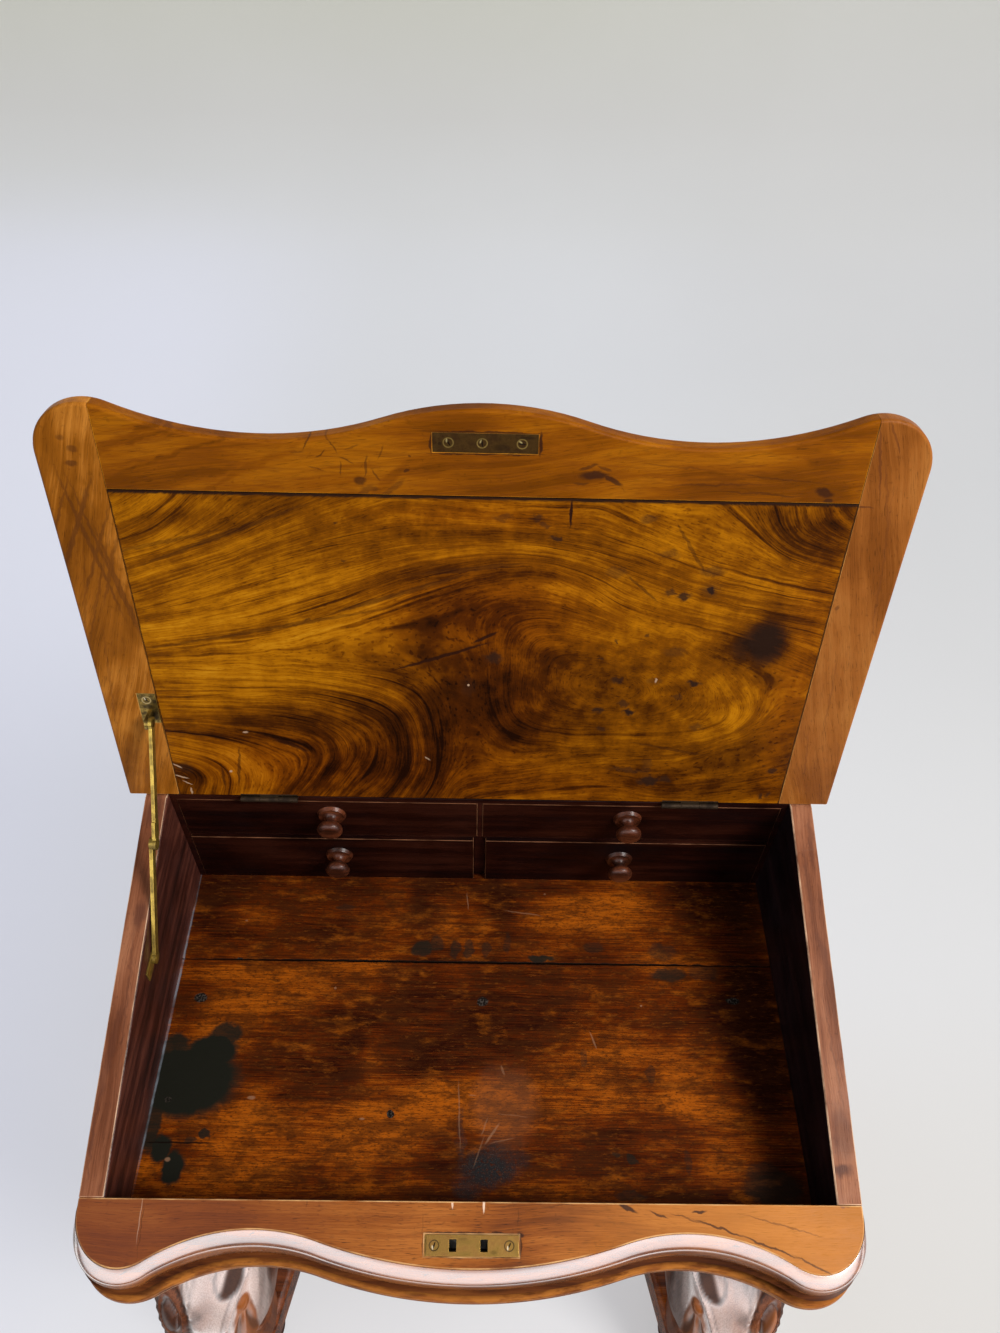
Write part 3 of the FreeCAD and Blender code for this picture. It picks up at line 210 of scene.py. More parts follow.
def wear_build(tree, given):
    """Fine crossing scratches, dents and smears of handled polish."""
    vector = given["Vector"]
    slanted = moved(tree, vector, turn=(0, 0, 0.6), scale=(0.02, 0.9, 0.9))
    other = moved(tree, vector, turn=(0, 0, -0.9), scale=(0.025, 1.1, 1.1))
    one = span(tree, noise(tree, slanted, 1.0, 1.0), 0.69, 0.73)
    two = span(tree, noise(tree, other, 1.0, 1.0), 0.70, 0.74)
    dents = span(tree, noise(tree, vector, 0.22, 2.0), 0.64, 0.74)
    smear = noise(tree, vector, 0.028, 4.0, 0.6)
    return {"Scratches": calc(tree, "MAXIMUM", one, two), "Dents": dents,
            "Smears": span(tree, smear, 0.3, 0.7)}


wear_group = make_group("wear", [("Vector", "NodeSocketVector", None)],
                        ("Scratches", "Dents", "Smears"), wear_build)


def spots(tree, vector, rows, ragged, soft, fine=0.11):
    """The strongest of some ragged oval spots.

    ragged bends their edges by so many millimetres, soft is the share of the size over
    which they fade, and fine is how fine the bends are. Each row is (x, y, half width,
    half height, strength) and may end in a turn in degrees. A long thin oval makes a
    scratch or a crack.
    """
    wobble = place(tree, "ShaderNodeTexNoise",
                   {"Vector": vector, "Scale": fine, "Detail": 3.0}).outputs["Color"]
    shift = place(tree, "ShaderNodeVectorMath", {0: wobble, 1: (0.5, 0.5, 0.5)},
                  operation="SUBTRACT").outputs[0]
    bent = place(tree, "ShaderNodeVectorMath", {0: shift, 1: (ragged,) * 3, 2: vector},
                 operation="MULTIPLY_ADD").outputs[0]
    total = None
    for x, y, wide, tall, strength, *turn in rows:
        angle = math.radians(turn[0]) if turn else 0.0
        inputs = {"Vector": bent, "Location": (x, y, 0), "Rotation": (0, 0, angle),
                  "Scale": (wide, tall, 1e6)}
        local = place(tree, "ShaderNodeMapping", inputs, vector_type="TEXTURE").outputs[0]
        away = place(tree, "ShaderNodeVectorMath", {0: local}, operation="LENGTH")
        mask = span(tree, away.outputs["Value"], 1 + soft / 2, 1 - soft / 2, 0, strength)
        total = mask if total is None else calc(tree, "MAXIMUM", total, mask)
    return total


def start_material(name):
    """An empty material with its shader: (material, tree, shader)."""
    made = bpy.data.materials.new(name)
    made.use_nodes = True
    tree = made.node_tree
    tree.nodes.clear()
    shader = tree.nodes.new("ShaderNodeBsdfPrincipled")
    output = tree.nodes.new("ShaderNodeOutputMaterial")
    tree.links.new(shader.outputs[0], output.inputs[0])
    return made, tree, shader


def finish_wood(tree, shader, colour, height, roughness, coat, coat_rough, bump, gloss,
                coat_ior=1.5, dull=False):
    """Join a wood's colour, height and roughness to its shader.

    dull takes the shine off where the mesh's attribute of that name says so.
    """
    shader.inputs["Specular IOR Level"].default_value = gloss
    shader.inputs["Coat IOR"].default_value = coat_ior
    tree.links.new(colour, shader.inputs["Base Color"])
    tree.links.new(roughness, shader.inputs["Roughness"])
    shader.inputs["Coat Weight"].default_value = coat
    shader.inputs["Coat Roughness"].default_value = coat_rough
    if dull:
        shine = calc(tree, "SUBTRACT", 1.0, attribute(tree, "dull"))
        tree.links.new(calc(tree, "MULTIPLY", shine, coat), shader.inputs["Coat Weight"])
        tree.links.new(calc(tree, "MULTIPLY", shine, gloss),
                       shader.inputs["Specular IOR Level"])
    relief = place(tree, "ShaderNodeBump", {"Height": height, "Strength": bump,
                                            "Distance": 0.0004})
    tree.links.new(relief.outputs[0], shader.inputs["Normal"])


def wood(name, tones, turn=0.0, grain=(0, 0, 0), shift=(0, 0, 0), wave=24.0, band=0.6,
         streak=0.35, pore=0.5, cloud=0.5, rough=(0.3, 0.5), coat=0.0, bump=0.25,
         gloss=0.25, coat_rough=0.12, shade=None, extra=None, edge=None, coat_ior=1.5,
         dull=False):
    """A polished wood from three tones, dark, middle and light.

    shade lightens or darkens places before the tones are chosen, extra adds stains and
    marks to the colour, edge is the tone of worn edges, on some woods also a painted
    highlight along them, and dull takes the shine off where the mesh says so.
    """
    made, tree, shader = start_material(name)
    flat, along = board_place(tree, turn, grain, shift)
    figure = place(tree, "ShaderNodeGroup", node_tree=grain_group)
    tree.links.new(along, figure.inputs["Vector"])
    figure.inputs["Wave"].default_value = wave
    handled = place(tree, "ShaderNodeGroup", node_tree=wear_group)
    tree.links.new(flat, handled.inputs["Vector"])
    out, worn = figure.outputs, handled.outputs
    level = calc(tree, "MULTIPLY", out["Bands"], band)
    level = calc(tree, "MULTIPLY_ADD", out["Clouds"], cloud, level)
    level = calc(tree, "MULTIPLY_ADD", out["Streaks"], streak, level)
    level = calc(tree, "DIVIDE", level, band + cloud + streak)
    if shade:
        level = calc(tree, "ADD", level, shade(tree, flat))
    dark, middle, light = tones
    colour = ramp(tree, level, [(0.18, dark), (0.5, middle), (0.82, light)])
    pores = calc(tree, "MULTIPLY", out["Pores"], pore)
    deep = tuple(v * 0.25 for v in dark)
    colour = mix(tree, pores, colour, deep)
    colour = mix(tree, calc(tree, "MULTIPLY", worn["Dents"], 0.25), colour, deep)
    if extra:
        colour = extra(tree, flat, colour, out, worn)
    if edge:
        rubbed = calc(tree, "MULTIPLY", attribute(tree, "worn"), worn["Smears"])
        colour = mix(tree, rubbed, colour, edge)
    height = calc(tree, "SUBTRACT", calc(tree, "MULTIPLY", out["Streaks"], 0.4),
                  calc(tree, "MULTIPLY", out["Pores"], 0.8))
    height = calc(tree, "SUBTRACT", height, calc(tree, "MULTIPLY", worn["Scratches"], 0.5))
    rougher = calc(tree, "MULTIPLY_ADD", worn["Smears"], rough[1] - rough[0], rough[0])
    rougher = calc(tree, "MULTIPLY_ADD", worn["Scratches"], 0.15, rougher)
    finish_wood(tree, shader, colour, height, rougher, coat, coat_rough, bump, gloss,
                coat_ior, dull)
    return made


def metal(name, bright, dull, turn=0.0, rough=(0.25, 0.5), patina=0.5, metallic=1.0,
          gloss=0.3, extra=None):
    """Aged brass or steel: rubbed bright places, dull ones and dark specks."""
    made, tree, shader = start_material(name)
    flat, _ = board_place(tree, turn)
    cloud = span(tree, noise(tree, flat, 0.12, 4.0, 0.6), 0.35, 0.65)
    fleck = span(tree, noise(tree, flat, 1.1, 2.0), 0.62, 0.72)
    brushed = noise(tree, moved(tree, flat, scale=(0.12, 3.0, 3.0)), 1.0, 2.0)
    colour = mix(tree, cloud, bright, dull)
    dark = tuple(v * 0.12 for v in dull)
    colour = mix(tree, calc(tree, "MULTIPLY", fleck, patina), colour, dark)
    rubbed = attribute(tree, "worn")
    colour = mix(tree, calc(tree, "MULTIPLY", rubbed, 0.6), colour,
                 tuple(min(1.0, v * 1.5) for v in bright))
    if extra:
        colour = extra(tree, flat, colour)
    tree.links.new(colour, shader.inputs["Base Color"])
    shader.inputs["Specular IOR Level"].default_value = gloss
    shader.inputs["Metallic"].default_value = metallic
    level = calc(tree, "MULTIPLY_ADD", cloud, rough[1] - rough[0], rough[0])
    tree.links.new(level, shader.inputs["Roughness"])
    relief = place(tree, "ShaderNodeBump", {"Height": brushed, "Strength": 0.15,
                                            "Distance": 0.0002})
    tree.links.new(relief.outputs[0], shader.inputs["Normal"])
    return made


# Mesh helpers

FLAT = math.radians(0.7)  # faces that turn less than this are one flat face


def row_frame(points):
    """Points about the hinge line, in millimetres, as metres in the desk's frame."""
    return (np.asarray(points, float) + HINGE) / 1000


def turned(points, angle):
    """Points drawn flat, turned about the hinge line."""
    x, y, z = np.moveaxis(np.asarray(points, float), -1, 0)
    c, s = math.cos(angle), math.sin(angle)
    return np.stack([x, y * c - z * s, y * s + z * c], -1)


def mesh_piece(name, points, faces, material, body, nodes, attributes, angle=35.0):
    """A new piece from points in millimetres and lists of corners.

    attributes holds numbers for each point, such as the level of the grain.
    """
    mesh = bpy.data.meshes.new(name)
    mesh.from_pydata(row_frame(points).tolist(), [], faces)
    for key, values in attributes.items():
        layer = mesh.attributes.new(key, "FLOAT", "POINT")
        layer.data.foreach_set("value", np.asarray(values, np.float32).ravel())
    return finish_piece(name, mesh, material, body, nodes, angle)


def finish_piece(name, mesh, material, body, nodes, angle=35.0):
    """Smooth a mesh, sharp only at its corners, and let it ride on its body."""
    mesh.shade_smooth()
    mesh.set_sharp_from_angle(angle=math.radians(angle))
    for each in material if isinstance(material, (list, tuple)) else [material]:
        mesh.materials.append(each)
    piece = bpy.data.objects.new(name, mesh)
    bpy.context.scene.collection.objects.link(piece)
    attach(piece, body)
    if nodes:
        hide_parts(*nodes)
    return piece


def grid_faces(rows, columns, closed=False):
    """The four-cornered faces of a grid of points, kept row by row.

    closed joins the last column to the first.
    """
    numbers = np.arange(rows * columns).reshape(rows, columns)
    if closed:
        numbers = np.hstack([numbers, numbers[:, :1]])
    quads = np.stack([numbers[:-1, :-1], numbers[:-1, 1:], numbers[1:, 1:],
                      numbers[1:, :-1]], -1)
    return quads.reshape(-1, 4).tolist()


def solids_mesh(node):
    """A CAD node's solids with shared corners and whole flat faces, as a bmesh.

    Triangles are joined over an edge that just two of them share, so boards that only
    touch stay apart.
    """
    data = frame["nodes"][node].data
    places = np.empty(len(data.vertices) * 3)
    data.vertices.foreach_get("co", places)
    corners = np.empty(len(data.loops), int)
    data.loops.foreach_get("vertex_index", corners)
    places = places.reshape(-1, 3)[corners]
    keys = np.floor(places / 1e-5 + 0.37).astype(np.int64)
    _, first, spot = np.unique(keys, axis=0, return_index=True, return_inverse=True)
    triangles = spot.reshape(-1, 3)
    ends = np.stack([triangles, np.roll(triangles, -1, axis=1)], axis=2).reshape(-1, 2)
    ends = np.sort(ends, axis=1)
    owner = np.repeat(np.arange(len(triangles)), 3)
    code = ends[:, 0] * (len(first) + 1) + ends[:, 1]
    order = np.argsort(code, kind="stable")
    _, start, number = np.unique(code[order], return_index=True, return_counts=True)
    pair = start[number == 2]
    one, two = owner[order][pair], owner[order][pair + 1]
    label = np.arange(len(triangles))
    while True:
        least = np.minimum(label[one], label[two])
        fresh = label.copy()
        np.minimum.at(fresh, one, least)
        np.minimum.at(fresh, two, least)
        fresh = fresh[fresh]
        if (fresh == label).all():
            break
        label = fresh
    keys = np.repeat(label, 3) * (len(first) + 1) + triangles.ravel()
    _, chosen, index = np.unique(keys, return_index=True, return_inverse=True)
    mesh = bpy.data.meshes.new("scratch")
    mesh.from_pydata(places[chosen].tolist(), [], index.reshape(-1, 3).tolist())
    mesh.validate()
    shape = bmesh.new()
    shape.from_mesh(mesh)
    bpy.data.meshes.remove(mesh)
    bmesh.ops.dissolve_limit(shape, angle_limit=FLAT, verts=shape.verts,
                             edges=shape.edges)
    return shape


def softened(node, material, slot, round_mm, segments=2, least=2.0, choose=None):
    """A dressed copy of a CAD node with its sharp outer edges rounded.

    The rounded edges are marked as worn. Edges shorter than least stay as they are,
    and choose picks a material's number from a face's middle and direction.
    """
    shape = solids_mesh(node)
    worn = shape.faces.layers.float.new("worn")

    def wanted(edge):
        if len(edge.link_faces) != 2 or not edge.is_convex:
            return False
        return edge.calc_length() * 1000 >= least and edge.calc_face_angle() >= 0.6

    edges = [edge for edge in shape.edges if wanted(edge)]
    if edges:
        made = bmesh.ops.bevel(shape, geom=edges, offset=round_mm / 1000,
                               offset_type="OFFSET", segments=segments, profile=0.5,
                               affect="EDGES", clamp_overlap=False)
        for face in made["faces"]:
            face[worn] = 1.0
    if choose:
        shape.faces.ensure_lookup_table()
        for face in shape.faces:
            middle = np.array(face.calc_center_median()) * 1000 - HINGE
            face.material_index = choose(middle, np.array(face.normal))
    mesh = bpy.data.meshes.new(f"dressed_{node}")
    shape.to_mesh(mesh)
    shape.free()
    body = frame["nodes"][node]["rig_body"]
    piece = finish_piece(f"dressed_{node}", mesh, material, body, [node])
    piece.modifiers.new("even_faces", "WEIGHTED_NORMAL").keep_sharp = True


def front_line(half, peak, corner, dip_share, dip, centre):
    """Points along a serpentine front from left to right, and their outward directions.

    Arcs meet without a corner: a round corner, a hollow, the swelling middle and the
    same mirrored. The radii follow from the reach of each peak and hollow.
    """
    gap = 2.0
    dip_x = half * dip_share
    fall, rise, side = centre - dip, peak - dip, half - corner - half * dip_share
    hollow = (side ** 2 + rise ** 2) / (2 * rise) - corner
    middle = (dip_x ** 2 + fall ** 2) / (2 * fall) - hollow
    c_mid = np.array([0.0, -(centre - middle)])
    c_dip = np.array([dip_x, -(dip + hollow)])
    c_end = np.array([half - corner, -(peak - corner)])
    to_mid = math.atan2(*(c_mid - c_dip)[::-1])
    to_end = math.atan2(*(c_end - c_dip)[::-1])
    points, outward = [], []
    for c, radius, start, end, sign in (
            (c_mid, middle, -math.pi / 2, to_mid - math.pi, 1),
            (c_dip, hollow, to_mid, to_end, -1),
            (c_end, corner, to_end - math.pi, 0.0, 1)):
        count = max(3, int(abs(end - start) * radius / gap))
        angles = np.linspace(start, end, count + 1)[bool(points):]
        ways = np.stack([np.cos(angles), np.sin(angles)], 1)
        points.append(c + radius * ways)
        outward.append(sign * ways)
    points, outward = np.vstack(points), np.vstack(outward)
    flip = np.array([-1.0, 1.0])
    return (np.vstack([points[:0:-1] * flip, points]),
            np.vstack([outward[:0:-1] * flip, outward]))


def sweep(name, points, outward, section, rise, swell, flare, material, body,
          nodes, numbers, dent=None):
    """A moulding: a section carried along a plan line.

    section is (out, up) pairs and their share of rise, which lifts each station's
    upper points, while swell scales how far those points stand out and flare does so
    for the lower ones. The section is closed behind, and both ends are capped. numbers
    holds an attribute's values round the section, and dent changes the points and
    those values.
    """
    section = np.asarray(section, float)
    count, width = len(points), len(section)
    upper = section[None, :, 2] > 0
    out = section[None, :, 0] * np.where(upper, swell[:, None], flare[:, None])
    plan = points[:, None, :] + outward[:, None, :] * out[..., None]
    up = section[None, :, 1] + section[None, :, 2] * np.asarray(rise)[:, None]
    grid = np.concatenate([plan, up[..., None]], -1)
    numbers = {key: np.tile(value, (count, 1)) for key, value in numbers.items()}
    if dent:
        grid = dent(grid, numbers)
    grid = grid.reshape(-1, 3)
    numbers = {key: value.ravel() for key, value in numbers.items()}
    faces = grid_faces(count, width, closed=True)
    caps = [list(range(width)), list(range((count - 1) * width, count * width))[::-1]]
    mesh_piece(name, grid, faces + caps, material, body, nodes, attributes=numbers)


def smooth_line(points, count):
    """A smooth line through some points: a cubic between each two, evenly stepped."""
    points = np.asarray(points, float)
    steps = np.linspace(0, len(points) - 1, count)
    index = np.minimum(steps.astype(int), len(points) - 2)
    t = (steps - index)[:, None]
    padded = np.vstack([2 * points[0] - points[1], points, 2 * points[-1] - points[-2]])
    a, b, c, d = (padded[index + k] for k in range(4))
    return 0.5 * (2 * b + (c - a) * t + (2 * a - 5 * b + 4 * c - d) * t ** 2
                  + (3 * b - a - 3 * c + d) * t ** 3)


# Woods. Tones are linear colours.

REDDISH = ((0.05, 0.012, 0.004), (0.16, 0.038, 0.009), (0.33, 0.09, 0.015))
DARK = ((0.004, 0.001, 0.001), (0.014, 0.003, 0.002), (0.035, 0.008, 0.004))
INK = (0.010, 0.010, 0.007)
ALONG_Y = (0, 0, math.radians(90))
ALONG_Z = (0, math.radians(90), 0)

# Marks: (x, y, half width, half height, strength, turn in degrees)
RIM_DARK = (
    (265, -244, 8, 16, 0.5), (262, -268, 6, 4, 0.8), (268, -120, 3, 22, 0.3, 10),
    (262, -60, 2, 26, 0.3), (-268, -200, 3, 40, 0.3, -6), (-262, -95, 5, 10, 0.6),
    (-264, -12, 6, 12, 0.6), (-270, -240, 1.2, 40, 0.4), (266, -190, 1, 40, 0.3, 4),
    (-262, -150, 1.0, 60, 0.3, 3), (269, -30, 2, 20, 0.4))
FLOOR_LIGHT = (
    (100, -35, 45, 14, 0.7), (110, -18, 60, 8, 0.6), (-28, -38, 12, 15, 1.0),
    (-10, -20, 20, 12, 0.5), (-200, -30, 20, 16, 0.4), (-120, -30, 60, 15, 0.35),
    (-86, -165, 8, 20, 0.9, 12), (-55, -205, 60, 12, 0.9), (-20, -188, 24, 12, 0.9),
    (-170, -190, 16, 8, 0.6), (-60, -136, 22, 5, 0.7), (22, -198, 26, 26, 0.6),
    (-120, -224, 70, 14, 0.6), (160, -195, 22, 8, 0.8), (170, -172, 30, 10, 0.5),
    (-45, -253, 16, 3, 0.9), (-188, -152, 26, 5, 0.7), (60, -200, 40, 12, 0.3),
    (190, -240, 28, 12, 0.5), (0, -90, 120, 8, 0.25), (-140, -255, 90, 8, 0.3))
# Darker places on the floor: dark figure in the wood, and painted shade: the right wall's
# shadow along its foot and the dark along the left wall.
FLOOR_DARK_AND_SHADE = (
    (-52, -28, 14, 28, 0.7), (20, -25, 13, 30, 0.9), (190, -32, 26, 30, 0.7),
    (232, -40, 22, 50, 0.9), (-118, -128, 46, 8, 0.35, 38), (-35, -152, 50, 14, 0.9),
    (-45, -172, 36, 12, 0.8), (10, -122, 70, 18, 0.4), (80, -168, 14, 9, 0.5),
    (140, -172, 10, 14, 0.5), (122, -210, 22, 16, 0.55), (150, -236, 42, 12, 0.4),
    (-30, -236, 34, 16, 0.45), (230, -120, 26, 70, 0.8), (238, -205, 26, 60, 0.9),
    (-240, -30, 20, 34, 0.6), (-242, -115, 18, 40, 0.65), (0, -4, 260, 5, 0.5),
    (-100, -150, 14, 14, 0.5), (60, -150, 30, 8, 0.3))
FLOOR_INK = (
    (-232, -181, 43, 29, 1.0), (-205, -143, 13, 9, 0.9), (-214, -158, 20, 14, 1.0),
    (-246, -158, 14, 14, 0.9), (-228, -246, 9, 12, 1.0), (-240, -232, 8, 10, 1.0),
    (-250, -214, 7, 22, 0.9), (-208, -221, 4, 3, 0.9), (-218, -226, 5, 2, 0.6),
    (228, -256, 22, 12, 0.6), (222, -245, 14, 8, 0.5), (-48, -66, 9, 8, 0.8),
    (-36, -61, 6, 8, 0.6), (-20, -66, 5, 8, 0.6), (-8, -66, 4, 8, 0.6),
    (8, -66, 4, 7, 0.5), (26, -60, 3, 10, 0.4), (55, -74, 11, 3, 0.9),
    (165, -87, 15, 6, 0.7), (195, -85, 13, 8, 0.5), (102, -63, 8, 6, 0.4),
    (162, -66, 13, 7, 0.45), (-120, -28, 8, 3, 0.4), (88, -160, 3, 8, 0.4),
    (142, -172, 4, 8, 0.4), (122, -236, 4, 3, 0.7), (110, -232, 3, 2, 0.6),
    (165, -238, 3, 9, 0.4), (120, -262, 12, 3, 0.6), (215, -110, 3, 2, 0.9))
FLOOR_SOOT = ((12, -244, 20, 13, 0.95), (-4, -258, 10, 8, 0.7), (16, -232, 12, 7, 0.6),
              (-10, -222, 3, 20, 0.4), (28, -238, 14, 8, 0.5))
FLOOR_NAILS = ((-232, -113, 5.5, 4, 1), (5, -113, 4.5, 4, 1), (218, -110, 5, 3, 1),
               (-66, -205, 3, 3, 1), (-205, -78, 3, 1.5, 1), (-242, -196, 3, 2, 0.6))
FLOOR_PALE = (
    (14, -219, 9, 0.9, 0.7, 55), (8, -214, 7, 0.6, 0.5, 70), (22, -224, 10, 0.5, 0.4, 12),
    (-12, -205, 0.6, 24, 0.5, 3), (97, -145, 0.7, 7, 0.7, 20), (-177, -194, 3, 1.4, 0.9),
    (-233, -240, 2.2, 1.6, 1.0), (-88, -209, 2, 0.8, 0.9), (139, -115, 0.9, 0.9, 0.9),
    (-120, -103, 1, 1, 0.8), (-10, -20, 0.5, 8, 0.6, 4), (40, -31, 16, 0.6, 0.5, -8),
    (-205, -42, 1.2, 0.8, 0.7), (60, -12, 1, 1, 0.5), (22, -170, 1, 4, 0.5, 20),
    (-2, -190, 3, 0.5, 0.5), (30, -205, 12, 0.4, 0.35, -6), (4, -232, 0.5, 12, 0.4, -20))
RAIL_MARKS = (
    (0, -309.7, 34, 0.9, 0.9), (33.5, -309.8, 2.5, 1.6, 0.9), (33.4, -317, 0.8, 7.5, 0.8),
    (0, -324.0, 33, 0.6, 0.7), (-33.2, -317, 0.6, 7.5, 0.6),
    (108, -293, 7, 1.2, 0.9, -25), (115, -290, 5, 0.8, 0.7, 15),
    (130, -297, 6, 0.8, 0.8, -20), (158, -295, 5, 0.8, 0.9), (150, -299, 12, 0.6, 0.5, -15),
    (172, -305, 18, 0.7, 0.8, -18), (205, -316, 20, 0.7, 0.8, -20),
    (235, -327, 14, 0.6, 0.7, -24), (215, -303, 26, 0.6, 0.45, -14),
    (262, -288, 3, 3, 0.8), (261, -276, 1.5, 4, 0.7), (-227, -308, 0.3, 18, 0.45),
    (-115, -288, 0.7, 6, 0.4), (-60, -300, 12, 0.5, 0.3), (60, -292, 9, 0.5, 0.4, 6),
    (-170, -290, 16, 0.5, 0.3, -3), (32, -300, 0.6, 5, 0.3),
    (-34, -306, 0.4, 8, 0.25), (-70, -288, 8, 0.6, 0.5), (-150, -288, 14, 0.6, 0.4))
RAIL_SCRATCHES = ((-14, -290, 0.7, 4.5, 0.9, 4), (8, -291, 0.8, 6, 1.0, -3),
                  (-228.6, -302, 0.3, 15, 0.3), (40, -288, 4, 0.5, 0.4))
CLAMP_LEFT_MARKS = (
    (-264, -238, 1.3, 56, 0.55, -10), (-257, -228, 1.0, 60, 0.5, -10),
    (-251, -205, 1.4, 46, 0.5, -9), (-268, -262, 0.9, 30, 0.4, -12),
    (-272, -250, 1.8, 42, 0.6, 26), (-262, -232, 1.2, 40, 0.5, 24),
    (-280, -262, 0.9, 30, 0.45, 24), (-255, -220, 1.4, 30, 0.45, 20),
    (-266, -205, 1.0, 50, 0.35, 20), (-279, -190, 0.8, 50, 0.25, 12),
    (-260, -310, 3, 2.4, 0.6), (-263, -300, 4, 2.2, 0.7), (-266, -318, 2.5, 2, 0.5),
    (-276, -120, 1.0, 50, 0.25, 6), (-262, -40, 0.8, 30, 0.3, 4))
CLAMP_RIGHT_MARKS = (
    (250, -315, 0.9, 26, 0.6, -14), (256, -330, 0.8, 12, 0.5, -30),
    (262, -285, 0.7, 30, 0.3, -16), (270, -250, 0.8, 40, 0.25, -8),
    (249, -200, 1.2, 2.4, 0.6), (247, -280, 7, 0.7, 0.8, 4), (262, -120, 0.8, 40, 0.25, -4),
    (256, -60, 0.9, 24, 0.3, -8), (275, -210, 0.8, 40, 0.25, -6))
LID_RAIL_MARKS = (
    (0, -327.0, 35, 0.9, 0.8), (0, -312.4, 35, 0.9, 0.8), (-34.2, -319.7, 0.9, 7.5, 0.8),
    (34.6, -319.7, 1.2, 8, 0.9),
    (-112, -318, 0.6, 6, 0.6, 30), (-104, -310, 4, 0.6, 0.6, -40),
    (-96, -316, 0.6, 5, 0.5, -30), (-88, -306, 5, 0.6, 0.5, 30), (-80, -292, 4, 3, 0.7),
    (-76, -302, 0.7, 7, 0.5, 10), (-70, -296, 4, 0.6, 0.5, 60), (-92, -300, 0.6, 5, 0.5),
    (-108, -300, 5, 0.6, 0.4, 20), (-84, -315, 5, 0.6, 0.4, -20), (-119, -311, 4, 0.6, 0.4),
    (-100, -322, 4, 0.5, 0.4, 50), (-66, -312, 0.6, 5, 0.4, 20), (-74, -286, 6, 1.6, 0.5),
    (70, -299, 9, 3.0, 0.85), (82, -296, 7, 1.6, 0.8, 30), (66, -305, 6, 1.2, 0.6, -20),
    (62, -293, 5, 1.0, 0.5), (76, -304, 5, 1.0, 0.5, 20), (220, -290, 6, 3, 0.8, 20),
    (224, -284, 3, 2, 0.7), (180, -288, 26, 0.7, 0.4, 3), (150, -294, 30, 0.7, 0.4, -2),
    (190, -299, 26, 0.7, 0.35, 6), (120, -306, 20, 0.7, 0.3, 4), (-50, -300, 1.4, 1.2, 0.7),
    (-48, -310, 1, 1, 0.6), (-60, -286, 10, 2, 0.4, -40), (-78, -284, 8, 2, 0.4, -40))
LID_RAIL_DARK = (
    (-225, -318, 34, 2.6, 0.7, -24), (-205, -322, 40, 1.6, 0.6, -20),
    (-180, -296, 20, 3, 0.5, -8), (-150, -300, 40, 2.2, 0.4, -28),
    (-190, -310, 40, 1.6, 0.5, -20), (-60, -292, 22, 4, 0.6, -42), (-40, -300, 14, 6, 0.4),
    (75, -300, 24, 9, 0.45), (222, -288, 14, 8, 0.7), (150, -300, 60, 3, 0.35),
    (0, -322, 60, 9, 0.35), (200, -318, 30, 5, 0.4, 14), (-236, -290, 12, 4, 0.4))

# Patches on the floor: shift, scale, detail, roughness, two levels, strength and tone
# of the blotches, golden places, dots, worked figure and glints
FLOOR_PATCHES = (
    ((0, 0, 0), (0.03, 0.06, 0.05), 6.0, 0.74, 0.46, 0.60, 0.62, (0.032, 0.008, 0.002)),
    ((40, 9, 0), (0.035, 0.09, 0.05), 5.0, 0.65, 0.52, 0.74, 0.6, (0.28, 0.070, 0.004)),
    ((0, 0, 0), (0.35, 1.0, 1.0), 2.0, 0.5, 0.58, 0.68, 0.7, (0.022, 0.006, 0.002)),
    ((11, 70, 0), (0.08, 0.34, 0.3), 6.0, 0.72, 0.47, 0.60, 0.62, (0.040, 0.010, 0.002)),
    ((31, 17, 0), (0.10, 0.6, 0.3), 5.0, 0.75, 0.56, 0.68, 0.35, (0.26, 0.075, 0.008)))


def shaded(light, dark, down=0.4, ragged=26.0):
    """A function that lightens and darkens a wood in soft patches."""
    def build(tree, flat):
        lighter = spots(tree, flat, light, ragged, 1.1, 0.05)
        darker = spots(tree, flat, dark, ragged, 1.1, 0.05)
        return calc(tree, "MULTIPLY_ADD", darker, -down,
                    calc(tree, "MULTIPLY", lighter, 0.3))
    return build


